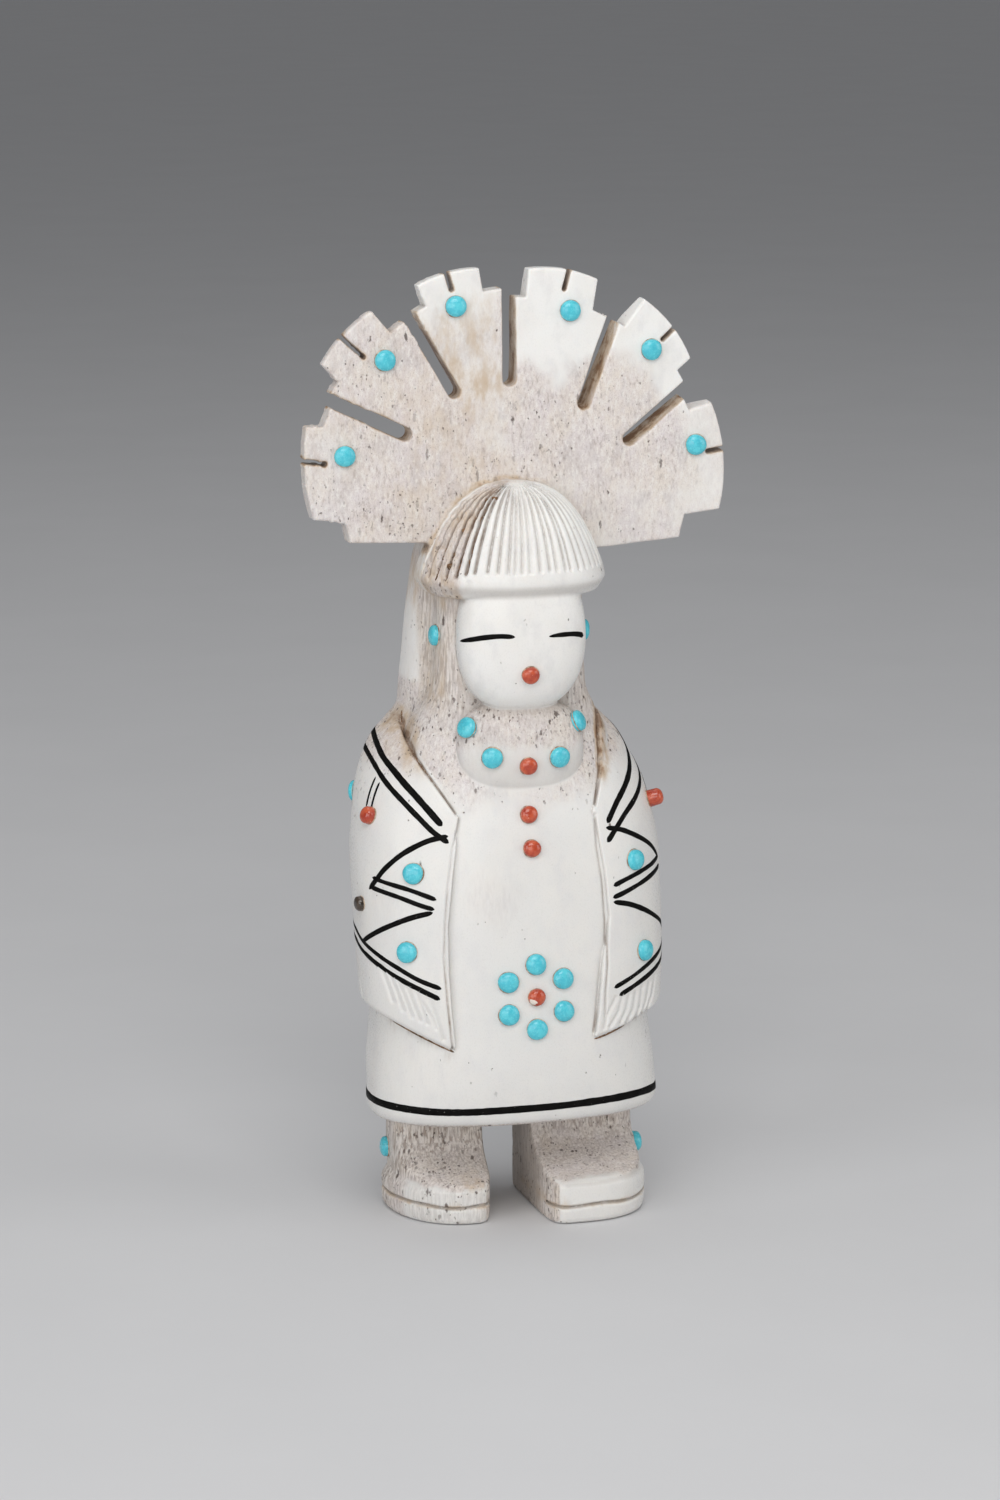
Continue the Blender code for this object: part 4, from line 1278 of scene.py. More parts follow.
def set_stones():
    """The stones with their kinds, and the filler round them all as one piece."""
    settings, stones = [], []
    for seed, (name, (seat, outward)) in enumerate(sorted(stone_seats().items())):
        _, kind, width, rise, straight = next(row for row in STONE_KINDS if row[0] in name)
        facing = Vector((outward[0], -outward[1], outward[2]))
        turn = np.array(facing.to_track_quat("Z", "Y").to_matrix())
        place = to_world(np.array([seat]))[0]
        points, faces = stone_shape(width / 2, rise, straight, seed)
        made = add_mesh(name + "_dome", points @ turn.T * MM + place, faces)
        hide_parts(name)
        stones.append((made, kind))
        ring, faces = setting_shape(width / 2, seed)
        settings.append((ring @ turn.T * MM + place, faces))
    return stones, add_mesh("stone_settings", *join(settings))


def fan_masks(x, f, z, n_front, soft, fine):
    """How porous, stained, pitted and streaked the fan is, and where its slots are."""
    radius = np.hypot(x - HUB[0], z - HUB[1])
    angle = np.degrees(np.arctan2(x - HUB[0], z - HUB[1]))
    fanned = ramp(z, 70.0, 71.5) * ramp(f, 1.9, 1.2)
    spread = np.interp(angle, *zip(*FAN_POROUS))
    inside = ramp(radius + 2.0 * soft + 0.8 * fine, spread + 2.0, spread - 2.5)
    wide = noise(x, x * 0 + 5, z, 6.0)
    lobe = ramp(angle, -33, -29) * ramp(angle, -2, -7) * fanned
    porous = fanned * highest(
        inside * (0.50 + 0.12 * soft + 0.14 * wide),
        ramp(angle, -30, -40) * (0.36 + 0.08 * soft),
        ramp(angle, 60, 70) * (0.24 + 0.08 * soft),
    )
    porous = porous * (1 - lobe * (0.40 + 0.4 * ramp(radius, 18.0, 21.0)))
    stain = lobe * (0.19 + 0.10 * soft) * ramp(radius, 8.0, 12.0) * ramp(radius, 23.0, 19.0)
    stain += fanned * ramp(radius, 20.0, 9.0) * 0.07 * (1 + soft)
    stain += fanned * ramp(x, 2.0, -3.0) * 0.08 * (1 + wide)
    wall = fanned * ramp(np.abs(n_front), 0.8, 0.45)
    reached = {SLOT_WIDTH: [], SLIT_WIDTH: []}
    for start, end, width in slot_lines():
        d, _ = segment_distance(x, z, start, end)
        reached[width].append(ramp(d, width / 2 + 0.35, width / 2 + 0.1))
    in_slot, in_slit = (highest(*found) for found in reached.values())
    inward = ramp(f, 0.9, -0.6)
    stain += wall * in_slot * (0.24 + 0.36 * inward + 0.22 * ramp(x, 3.0, 7.0) + 0.1 * fine)
    stain += np.maximum(wall, 0.2 * ramp(f, 1.2, 0.9)) * in_slit * (0.75 + 0.35 * inward)
    base = fanned * ramp(z, 72.6, 71.4) * ramp(x, -8.0, -9.5)
    stain += base * 0.16
    edge = fanned * ramp(sample_map(FAN_MAP, x, z), -0.5, -0.05)
    stain += edge * 0.14 * ramp(soft + 0.5 * fine, 0.1, 0.7)
    from_cap = cap(x, f, z, False)
    crown = fanned * ramp(from_cap, 0.55, 0.1)
    stain += crown * (0.36 + 0.26 * fine) * ramp(x, 5.5, 2.5)
    near_cap = ramp(from_cap, 4.5, 1.0) * fanned
    lower_left = fanned * ramp(x, -3.0, -7.0) * ramp(z, 80.0, 75.0)
    pitted = porous * (0.42 + 0.25 * wide) + near_cap * 0.7 * (0.6 + soft)
    pitted += lower_left * 0.5 * (1 + soft) + base
    return porous, stain, pitted * (porous > 0.3), x * 0, in_slot


def head_masks(x, f, z, soft, streak, face_front):
    """The same for the hair's sides, the hair cap and the neck, and where the neck and the chin's underside
    are, for painted shade under the chin.
    """
    capped = ramp(cap(x, f, z, False), 0.4, 0.1) * ramp(f, 1.4, 2.2) * ramp(z, 78.6, 78.0)
    hair_side = ramp(z, 52.5, 55.5) * ramp(z, 71.5, 69.5) * (1 - face_front) * (1 - capped)
    neck = ramp(z, 50.8, 52.6) * ramp(z, 57.5, 55.5) * (1 - face_front)
    left_cap = capped * ramp(cap_turn(x, f, z), -0.70, -0.90)
    # Paler along the hair's left edge
    porous = np.maximum(hair_side * (0.66 - 0.5 * ramp(x, -8.2, -9.2)), neck * 0.85)
    porous = np.where(capped > 0.5, np.maximum(left_cap * 0.62, 0.02), porous)
    left = hair_side * ramp(x + 1.0 * soft, -4.0, -6.5)
    band = left * ramp(np.abs(x + 8.0 - 0.06 * (z - 60)), 1.7, 0.4)
    stain = left * (0.05 + 0.10 * streak) + band * (0.10 + 0.18 * soft) * ramp(z, 66.5, 60.0)
    stain += hair_side * ramp(x, 5.5, 7.5) * 0.12
    # Tan stain with painted shade on the hair's left side just under the cap's rim
    under_rim = hair_side * ramp(z, 63.5, 66.3) * ramp(x, -5.0, -7.0)
    stain += under_rim * 0.22 + left_cap * (0.20 + 0.18 * soft + 0.14 * ramp(z, 69.4, 68.2))
    chin = neck * ramp(blob(FACE, x, f, z), 1.9, 0.2) * ramp(f, 0.5, 2.5)
    cheek = hair_side * ramp(blob(FACE, x, f, z), 1.0, 0.1) * ramp(x, -4.0, -6.0)
    low_cap = left_cap * ramp(z, 72.5, 69.5)
    pitted = highest(chin * 0.95, cheek * 0.8, hair_side * 0.20, neck * 0.95, low_cap)
    streaked = hair_side * (0.66 * ramp(x, -9.0, -8.3) - 0.12 * ramp(x, -7.5, -6.5))
    return porous, stain, pitted, np.maximum(streaked, left_cap * 0.25), 0.6 * neck + 0.4 * chin


# Stain beside each fold: its line, how far it reaches, the share of the line where it ends, most
FOLD_STAINS = ((FOLD_LEFT, 0.9, 0.55, 0.42), (FOLD_RIGHT, 0.8, 0.90, 1.05))


def robe_masks(x, f, z, n_up, soft):
    """The same for the shoulders, the chest, the robe and the skirt, and where the bib is."""
    bib = ramp(blob(BIB, x, f, z), 0.3, -0.05) * ramp(z + 1.1 * soft, 53.2, 50.2)
    bib *= ramp(f, 2.0, 4.0)
    chest = ramp(z + 1.3 * soft, 43.6, 47.6) * ramp(z, 51.5, 49.0) * ramp(f, 1.0, 3.0)
    within = ramp(opening_edge(x, z) - np.abs(x), -0.4, 0.4)
    shoulder = ramp(z, 46.0, 51.0) * ramp(z, 55.6, 54.6) * (1 - within)
    level = ramp(n_up + 0.2 * soft, 0.1, 0.7)
    inner = within * ramp(z, 45.5, 49.0) * ramp(z, 56, 54) * ramp(f, -3, -1)
    skirt = ramp(z, 12.0, 14.0) * ramp(z, 26.0, 19.0) * ramp(x + 3 * soft, -5.0, -12.0)
    mottled = ramp(z, 22, 27) * ramp(z, 42, 34) * ramp(x, -10.5, -13.5)
    cloudy = ramp(np.hypot((x + 4.5) / 3.5, (z - 36.0) / 5.5) + 0.3 * soft, 1.1, 0.4) * ramp(f, 3, 5)
    pale = np.maximum(skirt * 0.12, mottled * 0.20) * (0.5 + 0.6 * soft)
    pale = np.maximum(pale, cloudy * 0.15)
    porous = highest(chest * within * 0.36, shoulder * level * 0.62, inner * 0.7, pale)
    stain = 0.0
    for points, reach, fade, most in FOLD_STAINS:
        away, along = polyline_distance(x, z, points)
        away = away / np.where(beyond_fold(x, z, points), 2.4, 1.0)
        stain = stain + ramp(away, reach, 0.1) * ramp(along, fade, fade - 0.45) * most
    stain = stain * ramp(f, -7.0, -5.0)
    stain += shoulder * level * ramp(np.abs(x), 6.5, 8.5) * (0.16 + 0.22 * soft)
    open_chest = np.maximum(chest * within * 0.75, inner * 0.9) * (1 - bib)
    sleeve = ramp(z, 41.0, 45.0) * ramp(z, 51, 48) * ramp(x, -11.5, -13.5)
    pitted = highest(shoulder * level * 0.8, open_chest, sleeve * 0.35, pale * 0.7)
    return porous, stain, pitted, pale * 0.5, bib


def leg_masks(x, f, z, n_side, n_front, n_up, soft, fine):
    """The same for the legs and feet, and where the legs' inner walls are, for their painted shade."""
    left = x < 0
    toe = np.where(left, FEET[0][4], FEET[1][4])
    uneven = 0.5 * fine + 0.3 * soft
    legs = ramp(z, 12.1, 11.5) * ramp(z - toe - np.where(left, 0, 0.35) + uneven, -0.5, 0.5)
    toe_top = ramp(z, toe + 1.0, toe - 0.2) * ramp(z, toe - 1.2, toe - 0.3) * ramp(n_up, 0.45, 0.85)
    toe_top = toe_top * ramp(f + uneven, np.where(left, 7.5, 8.1), np.where(left, 6.0, 6.6))
    inner_wall = ramp(np.where(left, n_side, -n_side), 0.55, 0.85) * ramp(z, 11.9, 11.2)
    behind = ramp(f, 3.5, -1.0) * ramp(z, 11.9, 11.2)
    bare = highest(legs, toe_top * 0.9, inner_wall, behind * 0.85) * (1 + 0.12 * soft)
    toe_front = left * ramp(z, toe + 0.2, toe - 0.8) * ramp(n_front, 0.2, 0.6) * (f > 0)
    tan_spot = ramp(np.hypot(x + 5.2, (z - 4.3) * 1.5) + 0.6 * fine, 1.5, 0.5) * (f > 3)
    stain = bare * (0.06 + 0.12 * soft) + inner_wall * 0.05 + tan_spot * 0.22
    stain += ramp(np.abs(z - SOLE), 0.45, 0.1) * ramp(z, 3.0, 2.5) * ramp(f, -6, -3) * 0.32
    pitted = highest(bare * 0.85, toe_front * 0.75, ramp(z, 0.6, 0.2) * 0.5)
    steep = ramp(n_up, 0.85, 0.35)
    streaked = np.maximum(bare * (0.50 + 0.42 * steep), toe_front * 0.3) * np.where(left, 1.0, 0.8)
    return bare * 0.95, stain, pitted, streaked, inner_wall * ramp(f, 6.5, 2.0)


def cap_front(f, z):
    """1 on the front of the hair cap and above."""
    return ramp(z, 66.4, 67.4) * ramp(f, 1.4, 2.2)


def deep_mask(x, f, z):
    """How much dirt lies deep in the grooves, and the painted shadow with dirt on the skirt under the robe's
    edge.
    """
    turn = cap_turn(x, f, z)
    grooves = cap_front(f, z) * ramp(cap_grooves(x, f, z), 0.06, 0.30)
    grooves *= 0.20 + 0.16 * ramp(turn, -0.40, -0.60) + 0.26 * ramp(turn, -0.58, -0.72)
    grooves *= 1 - 0.3 * ramp(turn, -0.95, -1.05)
    cuts = ramp(groove_cuts(x, f, z), 0.04, 0.26)
    upper = ramp(z, 45.5, 49.5)
    lapel = ramp(np.abs(opening_edge(x, z) - np.abs(x)), 1.0, 0.5) * ramp(f, 1.0, 3.0)
    # Painted contact shadow with dirt on the skirt just under the robe's lower edge
    below = ramp(robe(x, f, z), 0.5, 0.1) * ramp(z - robe_low(x, f), 0.1, -0.2)
    cuts *= 0.18 + 0.40 * lapel * (1 - upper) + 0.50 * upper
    return highest(grooves, cuts, 0.42 * below * ramp(z, 17, 18))


def surface_masks(points, outward):
    """From 0 to 1 at each point: porous, stained, painted shade with grime, dirt deep in a groove with
    painted shadow under the robe's edge, pitted, streaked.
    """
    x, f, z = points.T
    n_side, n_front, n_up = outward.T
    soft = noise(x, f, z, 2.6)
    fine = noise(x, f, z, 1.1)
    streak = noise(x * 2.2, f * 2.2, z * 0.45, 1.0)
    face_front = ramp(-blob(FACE, x, f, z), -0.35, -0.05) * ramp(f, 3.0, 5.5)
    face_front *= ramp(z, 54.3, 55.6)
    rows = zip(
        fan_masks(x, f, z, n_front, soft, fine),
        head_masks(x, f, z, soft, streak, face_front),
        robe_masks(x, f, z, n_up, soft),
        leg_masks(x, f, z, n_side, n_front, n_up, soft, fine),
    )
    porous, stain, pitted, streaked, (in_slot, neck, bib, inner_wall) = rows
    clean = (1 - 0.9 * face_front) * (1 - 0.85 * bib)
    # Painted shade with some grime in hollows: how little room there is a short way out from the surface
    room = np.clip(evaluate(points + outward * 0.35) / 0.35, 0, 1)
    wide_room = np.clip(evaluate(points + outward * 1.3) / 1.3, 0, 1)
    shade_and_grime = (0.70 * (1 - room) + 0.40 * (1 - wide_room)) * (1 - 0.92 * in_slot)
    # Painted shade with some grime on the legs' inner walls, where the legs shade each other
    shade_and_grime = shade_and_grime * (1 - 0.45 * ramp(z, 46.0, 43.0) * ramp(z, 12.3, 13.6)) + 1.45 * inner_wall
    # Painted shade under the chin on the neck and the bib, under the hem on the left leg, and on the
    # underside of the hair cap's rim
    left_leg = porous[3] * ramp(z, 9.4, 11.3) * (x < 0)
    shade_and_grime += 0.60 * neck + 0.46 * bib + 0.5 * left_leg + 0.50 * cap_front(f, z) * ramp(z, 69.0, 67.7)
    found = (
        highest(*porous) * clean,
        sum(stain),
        shade_and_grime,
        deep_mask(x, f, z),
        highest(*pitted) * clean,
        highest(*streaked) * clean,
    )
    return [np.clip(mask, 0, 1) for mask in found]


MASKS = ("porous", "stain", "shade_and_grime", "deep", "pitted", "streaked")


def add_masks(piece, points, outward):
    """Gives the carving's points their masks, for its material to read."""
    for name, values in zip(MASKS, surface_masks(points, outward)):
        layer = piece.data.attributes.new(name, "FLOAT", "POINT")
        layer.data.foreach_set("value", values.astype(np.float32))


class Nodes:
    """Short names for building a material's nodes. Places are in millimetres."""

    def __init__(self, name):
        self.material = bpy.data.materials.new(name)
        self.material.use_nodes = True
        self.tree = self.material.node_tree
        self.shader = self.tree.nodes["Principled BSDF"]
        where = self.node("TexCoord")
        self.place = self.vector("MULTIPLY", where.outputs["Object"], (1 / MM, 1 / MM, 1 / MM))

    def link(self, socket, value):
        """Joins another node's output to a socket, or sets the socket's own value."""
        if isinstance(value, bpy.types.NodeSocket):
            self.tree.links.new(value, socket)
        else:
            socket.default_value = value

    def node(self, kind, *values, **settings):
        """Makes a node with its settings, and gives its first inputs their values."""
        made = self.tree.nodes.new("ShaderNode" + kind)
        for name, value in settings.items():
            setattr(made, name, value)
        for socket, value in zip(made.inputs, values):
            self.link(socket, value)
        return made

    def vector(self, operation, a, b):
        return self.node("VectorMath", a, b, operation=operation).outputs[0]

    def math(self, operation, a, b=0.0):
        return self.node("Math", a, b, operation=operation).outputs[0]

    def times(self, a, b):
        return self.math("MULTIPLY", a, b)

    def attribute(self, name):
        return self.node("Attribute", attribute_name=name).outputs["Fac"]

    def drawn_out(self, place, stretch, shift):
        """Places squeezed, so that a pattern there is drawn out, and shifted."""
        place = self.vector("MULTIPLY", place, tuple(1 / s for s in stretch))
        return self.vector("ADD", place, (shift, shift * 0.7, shift * 1.3)) if shift else place

    def noise(self, scale, detail=3.0, rough=0.55, stretch=(1, 1, 1), shift=0.0):
        """Noise with features about scale millimetres across."""
        node = self.node("TexNoise", self.drawn_out(self.place, stretch, shift))
        node.inputs["Scale"].default_value = 1 / scale
        node.inputs["Detail"].default_value = detail
        node.inputs["Roughness"].default_value = rough
        return node.outputs["Fac"]

    def cells(self, scale, stretch, shift, place):
        """Distance to the nearest of scattered points, and three random values for each."""
        node = self.node("TexVoronoi", self.drawn_out(place, stretch, shift))
        node.inputs["Scale"].default_value = 1 / scale
        return node.outputs["Distance"], self.node("SeparateColor", node.outputs["Color"]).outputs

    def map(self, value, low, high, to_low=0.0, to_high=1.0):
        """Smooth step from one range to another."""
        values = (value, low, high, to_low, to_high)
        return self.node("MapRange", *values, interpolation_type="SMOOTHSTEP").outputs[0]

    def mix(self, share, a, b):
        """Mix of two colours."""
        node = self.node("Mix", share, data_type="RGBA")
        for socket, v in ((node.inputs[6], a), (node.inputs[7], b)):
            self.link(socket, (*v, 1) if isinstance(v, tuple) else v)
        return node.outputs[2]

    def bump(self, height, strength, depth):
        """Fine relief, at most depth millimetres high."""
        node = self.node("Bump")
        for name, value in (("Strength", strength), ("Distance", depth * MM), ("Height", height)):
            self.link(node.inputs[name], value)
        self.link(self.shader.inputs["Normal"], node.outputs[0])

    def set(self, **values):
        """Sets or joins inputs of the shader, by their names with _ for a space."""
        for name, value in values.items():
            self.link(self.shader.inputs[name.replace("_", " ")], value)


# Linear colours of the antler
WHITE = (0.800, 0.790, 0.768)
# Painted shade: the white darkened on the lower body, which gets less light from above
SHADED_LOW_WHITE = (0.700, 0.690, 0.670)
WARM_WHITE = (0.745, 0.725, 0.690)
GREY_WHITE = (0.655, 0.645, 0.640)
CORE_LILAC = (0.655, 0.605, 0.600)
CORE_CREAM = (0.690, 0.630, 0.570)
CORE_GREY = (0.575, 0.530, 0.515)
CORE_PALE = (0.760, 0.730, 0.695)
CORE_DARK = (0.360, 0.305, 0.280)
CORE_PINK = (0.470, 0.395, 0.380)
FIBRE_PALE = (0.740, 0.690, 0.640)
FIBRE_DARK = (0.300, 0.240, 0.200)
TAN = (0.520, 0.400, 0.280)
BROWN = (0.230, 0.120, 0.055)
# Painted shade, with some grime, for hollows and shaded places
SHADE_AND_GRIME = (0.350, 0.305, 0.270)
DEEP = (0.190, 0.110, 0.062)
PIT = (0.085, 0.062, 0.052)
# Pores: size, stretch, shift, inner and outer radius as shares of the size, most share kept
PORES = (
    (0.48, (1, 1, 1.7), 0.0, 0.16, 0.32, 0.55),
    (0.95, (1, 1, 2.4), 5.0, 0.12, 0.22, 0.40),
    (0.60, (1, 1, 4.2), 13.0, 0.13, 0.26, 0.28),
    (0.27, (1, 1, 1.4), 19.0, 0.18, 0.36, 0.42),
)


def antler_pores(m, pitted):
    """Open pores, drawn out along the grain and in clusters."""
    bend = m.node("TexNoise", m.place)
    bend.inputs["Scale"].default_value = 3.0
    wavy = m.vector("ADD", m.place, m.vector("MULTIPLY", bend.outputs["Color"], (0.32, 0.32, 0.5)))
    cluster = m.map(m.noise(2.6, 3.0, 0.65, (1, 1, 1.5), 31.0), 0.42, 0.64, 0.30, 1.7)
    density = m.times(pitted, cluster)
    pits = 0.0
    for scale, stretch, shift, low, high, most in PORES:
        distance, random = m.cells(scale, stretch, shift, wavy)
        kept = m.math("LESS_THAN", random[0], m.map(density, 0.0, 1.0, 0.003, most))
        size = m.map(random[1], 0.0, 1.0, 0.55, 1.35)
        pit = m.map(m.math("DIVIDE", distance, size), low, high, 1.0, 0.0)
        pit = m.times(pit, m.times(kept, m.map(random[2], 0, 1, 0.3, 1.0)))
        pits = m.math("MAXIMUM", pits, pit)
    return pits


def antler_core(m, porous, cloud, grain, speck):
    """Colour of the porous core: pale and mottled, darker where it is most porous."""
    tint = m.noise(3.4, 5.0, 0.72, (1, 1, 1.6), 17.0)
    core = m.mix(m.map(tint, 0.34, 0.66), CORE_LILAC, CORE_CREAM)
    core = m.mix(m.map(cloud, 0.50, 0.70, 0.0, 0.75), core, CORE_GREY)
    core = m.mix(m.map(grain, 0.34, 0.50, 0.75, 0.0), core, CORE_PALE)
    dark_share = m.map(porous, 0.2, 1.0, 0.50, 0.75)
    core = m.mix(m.times(m.map(grain, 0.54, 0.70), dark_share), core, CORE_DARK)
    return m.mix(m.times(m.map(speck, 0.50, 0.68), 0.55), core, CORE_PINK)


def antler_material():
    """Polished white antler with a porous core, pits along the grain, stains and grime, and painted shade in
    hollows and on the lower body.
    """
    m = Nodes("antler_carved")
    porous, stain, shade_and_grime, deep, pitted, streaked = (m.attribute(name) for name in MASKS)
    cloud = m.noise(2.0, 3.0, 0.6, (1, 1, 1.7), 3.0)
    grain = m.noise(0.28, 3.0, 0.6, (1, 1, 2.4))
    speck = m.noise(0.13, 2.0, 0.7, (1, 1, 1.5), 7.0)
    fibre = m.noise(0.24, 3.0, 0.6, (1, 1, 8.0), 23.0)
    # Base white, with painted shade darkening it towards the bottom of the figure, a little warmer or greyer
    # in places
    height = m.node("SeparateXYZ", m.place).outputs[2]
    white = m.mix(m.map(height, 38.0, 56.0), SHADED_LOW_WHITE, WHITE)
    colour = m.mix(m.map(m.noise(7.0, 2.0), 0.35, 0.65, 0.0, 0.6), white, WARM_WHITE)
    colour = m.mix(m.times(m.map(cloud, 0.48, 0.70), 0.42), colour, GREY_WHITE)
    # Porous core, streaked along the grain in places
    core = antler_core(m, porous, cloud, grain, speck)
    colour = m.mix(m.map(porous, 0.03, 0.5), colour, core)
    fibred = m.mix(m.map(fibre, 0.40, 0.62), FIBRE_PALE, FIBRE_DARK)
    colour = m.mix(m.times(streaked, m.map(cloud, 0.3, 0.6, 0.62, 0.92)), colour, fibred)
    # Tan stain, brown where it is strongest
    uneven = m.map(m.noise(1.2, 4.0, 0.65, (1, 1, 2.2), 11.0), 0.28, 0.72, 0.35, 1.5)
    tan = m.times(stain, uneven)
    colour = m.mix(m.map(tan, 0.02, 0.55, 0.0, 0.85), colour, TAN)
    colour = m.mix(m.map(tan, 0.45, 1.0, 0.0, 0.9), colour, BROWN)
    # Painted shade with grime in hollows, dirt in the grooves with painted shadow under the robe's edge, and
    # the open pores
    colour = m.mix(m.map(shade_and_grime, 0.15, 1.0, 0.0, 0.55), colour, SHADE_AND_GRIME)
    colour = m.mix(m.map(m.times(deep, uneven), 0.0, 1.0, 0.0, 0.9), colour, DEEP)
    pits = antler_pores(m, pitted)
    colour = m.mix(m.times(pits, 0.88), colour, PIT)
    # Polish, duller on the core and in the grooves
    gloss = m.math("ADD", m.map(porous, 0.0, 0.8, 0.30, 0.60), m.map(speck, 0.3, 0.7, -0.05, 0.06))
    dull = m.math("MAXIMUM", gloss, m.map(deep, 0.0, 0.6, 0.0, 0.75))
    m.set(Base_Color=colour, Roughness=dull, IOR=1.48, Specular_IOR_Level=0.40)
    m.set(Subsurface_Weight=0.10, Subsurface_Radius=(1.0, 0.7, 0.5), Subsurface_Scale=0.0008)
    # Relief: tool marks, the grain and the pores
    relief = m.times(m.noise(1.0, 3.0, 0.5, (1, 1, 1.5)), 0.25)
    relief = m.math("ADD", relief, m.times(m.times(grain, porous), 0.55))
    relief = m.math("SUBTRACT", relief, m.times(m.times(fibre, streaked), 0.9))
    relief = m.math("SUBTRACT", relief, m.times(pits, 0.8))
    m.bump(relief, 0.8, 0.09)
    return m.material


def ink_material():
    """Matt black ink with a few pale specks."""
    m = Nodes("black_ink")
    speck = m.noise(0.16, 2.0, 0.6)
    colour = m.mix(m.map(m.noise(0.9, 3.0), 0.3, 0.7), (0.0025, 0.0024, 0.0022), (0.006, 0.0055, 0.005))
    colour = m.mix(m.map(speck, 0.735, 0.76), colour, (0.55, 0.53, 0.5))
    rough = m.map(m.noise(0.5, 3.0), 0.3, 0.7, 0.5, 0.65)
    m.set(Base_Color=colour, Roughness=rough, Specular_IOR_Level=0.06)
    m.bump(m.noise(0.35, 3.0), 0.3, 0.02)
    return m.material


def dirt_and_shadow_material():
    """Brown dirt, rubbed off in specks, also used as painted shadow under the robe's points."""
    m = Nodes("brown_dirt_and_shadow")
    speck = m.noise(0.17, 3.0, 0.65)
    colour = m.mix(m.map(m.noise(0.8, 3.0), 0.35, 0.65), (0.085, 0.045, 0.022), (0.23, 0.125, 0.065))
    colour = m.mix(m.times(m.map(speck, 0.54, 0.68), 0.8), colour, (0.48, 0.40, 0.32))
    m.set(Base_Color=colour, Roughness=m.map(speck, 0.3, 0.7, 0.65, 0.85), Specular_IOR_Level=0.15)
    m.bump(speck, 0.4, 0.02)
    return m.material


def turquoise_material():
    """Polished turquoise, cloudy with a few faint veins."""
    m = Nodes("turquoise_polished")
    cloud = m.noise(0.75, 4.0, 0.6)
    speck = m.noise(0.22, 2.0, 0.6, (1, 1, 1), 4.0)
    colour = m.mix(m.map(cloud, 0.34, 0.66), (0.062, 0.480, 0.590), (0.095, 0.575, 0.665))
    colour = m.mix(m.times(m.map(speck, 0.55, 0.72), 0.5), colour, (0.20, 0.70, 0.76))
    from_middle = m.math("SUBTRACT", m.noise(2.1, 4.0, 0.65, (1, 1, 1), 9.0), 0.5)
    vein = m.map(m.math("ABSOLUTE", from_middle), 0.0, 0.012, 1.0, 0.0)
    vein = m.times(vein, m.map(m.noise(2.6, 1.0, 0.5, (1, 1, 1), 2.0), 0.5, 0.62))
    colour = m.mix(m.times(vein, 0.45), colour, (0.10, 0.16, 0.13))
    m.set(Base_Color=colour, Roughness=m.map(cloud, 0.3, 0.7, 0.2, 0.32))
    m.set(Coat_Weight=0.25, Coat_Roughness=0.12)
    m.bump(speck, 0.25, 0.02)
    return m.material


def coral_material(chip=None):
    """Polished coral. chip is the middle of a pale chipped spot, in millimetres."""
    m = Nodes("coral_chipped" if chip else "coral_polished")
    cloud = m.noise(0.9, 3.0, 0.55)
    colour = m.mix(m.map(cloud, 0.33, 0.67), (0.375, 0.040, 0.017), (0.555, 0.095, 0.036))
    fleck = m.map(m.noise(0.28, 2.0, 0.6, (1, 1, 1), 6.0), 0.66, 0.72)
    colour = m.mix(m.times(fleck, 0.5), colour, (0.78, 0.42, 0.30))
    if chip:
        reach = m.node("VectorMath", m.place, chip, operation="DISTANCE").outputs["Value"]
        wavy = m.math("ADD", reach, m.map(m.noise(0.4), 0.3, 0.7, -0.12, 0.12))
        colour = m.mix(m.map(wavy, 0.30, 0.40, 1.0, 0.0), colour, (0.80, 0.70, 0.62))
    m.set(Base_Color=colour, Roughness=m.map(cloud, 0.3, 0.7, 0.16, 0.28))
    m.set(Coat_Weight=0.4, Coat_Roughness=0.08)
    m.bump(m.noise(0.5, 3.0), 0.2, 0.03)
    return m.material


def jet_material():
    """Polished jet with brown clouds."""
    m = Nodes("jet_polished")
    cloud = m.noise(0.8, 3.0)
    colour = m.mix(m.map(cloud, 0.35, 0.7), (0.012, 0.009, 0.007), (0.075, 0.050, 0.032))
    m.set(Base_Color=colour, Roughness=m.map(cloud, 0.3, 0.7, 0.12, 0.25))
    m.set(Coat_Weight=0.5, Coat_Roughness=0.06)
    m.bump(m.noise(0.5, 2.0), 0.15, 0.02)
    return m.material


def filler_material():
    """Brown filler round the stones."""
    m = Nodes("brown_filler")
    cloud = m.noise(0.5, 3.0)
    colour = m.mix(m.map(cloud, 0.35, 0.65), (0.22, 0.13, 0.07), (0.56, 0.45, 0.34))
    m.set(Base_Color=colour, Roughness=m.map(cloud, 0.3, 0.7, 0.4, 0.65))
    m.bump(cloud, 0.4, 0.03)
    return m.material


def dress(piece, material):
    """Gives a piece its material, and the slot that the material fills."""
    piece.data.materials.clear()
    piece.data.materials.append(material)
    return piece


# Middle of the pale chip in the flower's coral: x, forward, height
CHIP = (-0.45, 11.2, 25.0)


def build_figure():
    """The carving, its ink, its dirt and painted shadow, the stones and their filler, each with its
    material.
    """
    carved, points, outward = carve()
    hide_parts("antler_carving")
    add_masks(carved, points, outward)
    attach(dress(carved, antler_material()), "root")
    ink = ink_material()
    for piece in ink_pieces():
        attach(dress(piece, ink), "root")
    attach(dress(dirt_and_shadow_piece(), dirt_and_shadow_material()), "root")
    stones, filler = set_stones()
    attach(dress(filler, filler_material()), "root")
    chip = to_world(np.array([CHIP]))[0] / MM
    looks = {
        "turquoise": turquoise_material(),
        "coral": coral_material(),
        "jet": jet_material(),
        "chipped": coral_material(tuple(chip)),
    }
    for piece, kind in stones:
        look = "chipped" if piece.name.startswith("flower_coral") else kind
        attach(dress(piece, looks[look]), "root")


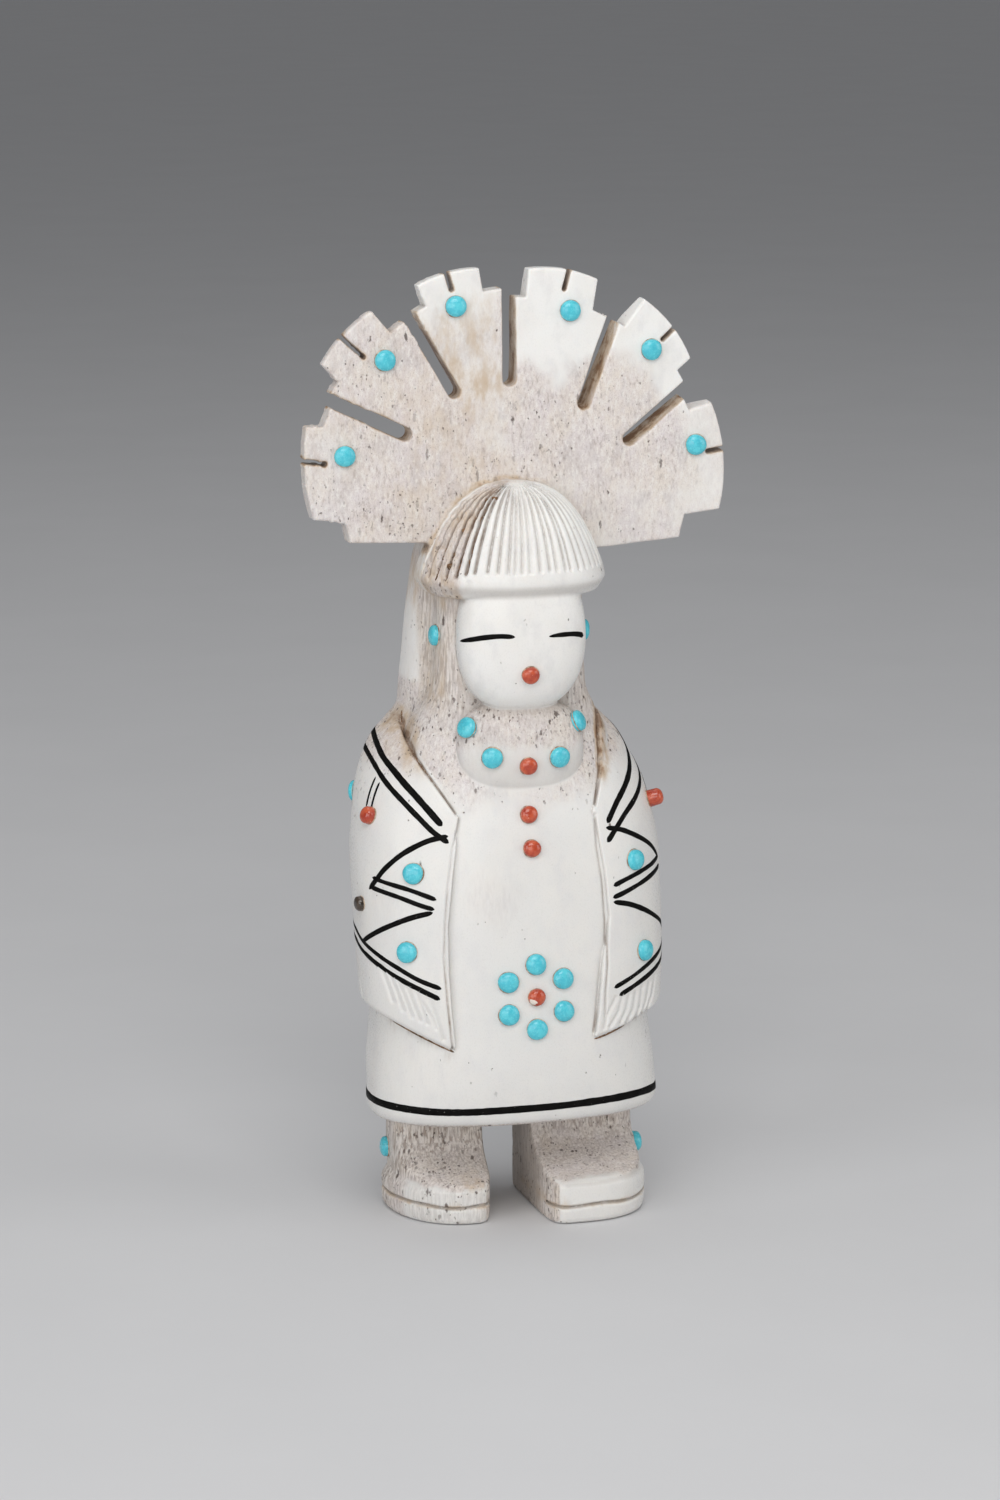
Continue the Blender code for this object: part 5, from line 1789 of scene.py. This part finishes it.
# The studio, in metres. Lights: name, place, size, power, colour
FLOOR_REACH = 4.0
FLOOR_LIGHT = (0.68, 0.68, 0.69)
FLOOR_DARK = (0.64, 0.64, 0.65)
LIGHTS = (
    ("key_light", (-0.07, -0.32, 0.39), (0.30, 0.22), 0.88, (1.0, 0.99, 0.975)),
    ("front_light", (-0.20, -0.62, 0.17), (0.4, 0.25), 0.80, (1.0, 0.995, 0.99)),
    ("fill_left", (-0.66, -0.40, 0.27), (0.5, 0.5), 1.95, (0.98, 0.99, 1.0)),
    ("fill_right", (0.62, -0.44, 0.27), (0.5, 0.5), 1.38, (1.0, 0.995, 0.985)),
    ("top_light", (0.0, 0.08, 0.70), (0.6, 0.6), 1.0, (1.0, 1.0, 1.0)),
)
LIGHTS_AIM = (0.0, 0.0, 0.075)
SKY_COLOUR = (0.80, 0.81, 0.83, 1)
SKY_POWER = 0.26
# The camera's place and aim in millimetres, and its lens
CAMERA_PLACE = (-136.447, -470.765, 149.127)
CAMERA_AIM = (-1.3953, 0.2166, 49.443)
CAMERA_LENS = 114.738
SENSOR_WIDTH = 36


def add_floor():
    """Plain pale floor."""
    mesh = bpy.data.meshes.new("floor")
    corners = [(x * FLOOR_REACH, y * FLOOR_REACH, 0) for x, y in ((-1, -1), (1, -1), (1, 1), (-1, 1))]
    mesh.from_pydata(corners, [], [(0, 1, 2, 3)])
    m = Nodes("floor_paper")
    m.set(Base_Color=m.mix(m.noise(30.0, 3.0), FLOOR_LIGHT, FLOOR_DARK))
    m.set(Roughness=m.map(m.noise(3.0), 0, 1, 0.75, 0.9))
    mesh.materials.append(m.material)
    add_object("floor", mesh)


def add_lights():
    """Soft studio lights and an even pale surround."""
    for name, place, size, power, colour in LIGHTS:
        light = bpy.data.lights.new(name, "AREA")
        light.shape = "RECTANGLE"
        light.size, light.size_y = size
        light.energy = power
        light.color = colour
        add_object(name, light, place, LIGHTS_AIM)
    world = bpy.data.worlds.new("studio")
    world.use_nodes = True
    sky = world.node_tree.nodes["Background"]
    sky.inputs["Color"].default_value = SKY_COLOUR
    sky.inputs["Strength"].default_value = SKY_POWER
    bpy.context.scene.world = world


def add_camera():
    """Camera at the photo's angle."""
    camera = bpy.data.cameras.new("camera")
    camera.lens = CAMERA_LENS
    camera.sensor_width = SENSOR_WIDTH
    camera.sensor_fit = "AUTO"
    camera.clip_start = 0.01
    camera.clip_end = 20
    place, aim = Vector(CAMERA_PLACE) * MM, Vector(CAMERA_AIM) * MM
    bpy.context.scene.camera = add_object("camera", camera, place, aim)
    bpy.context.scene.view_settings.view_transform = "Standard"


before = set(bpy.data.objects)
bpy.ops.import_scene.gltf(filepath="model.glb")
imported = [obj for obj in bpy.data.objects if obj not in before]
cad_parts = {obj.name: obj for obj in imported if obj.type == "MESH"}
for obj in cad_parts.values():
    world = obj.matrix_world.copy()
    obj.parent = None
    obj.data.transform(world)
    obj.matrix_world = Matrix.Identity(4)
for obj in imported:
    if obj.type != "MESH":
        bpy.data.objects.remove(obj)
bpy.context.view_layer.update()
build_figure()
add_floor()
add_lights()
add_camera()
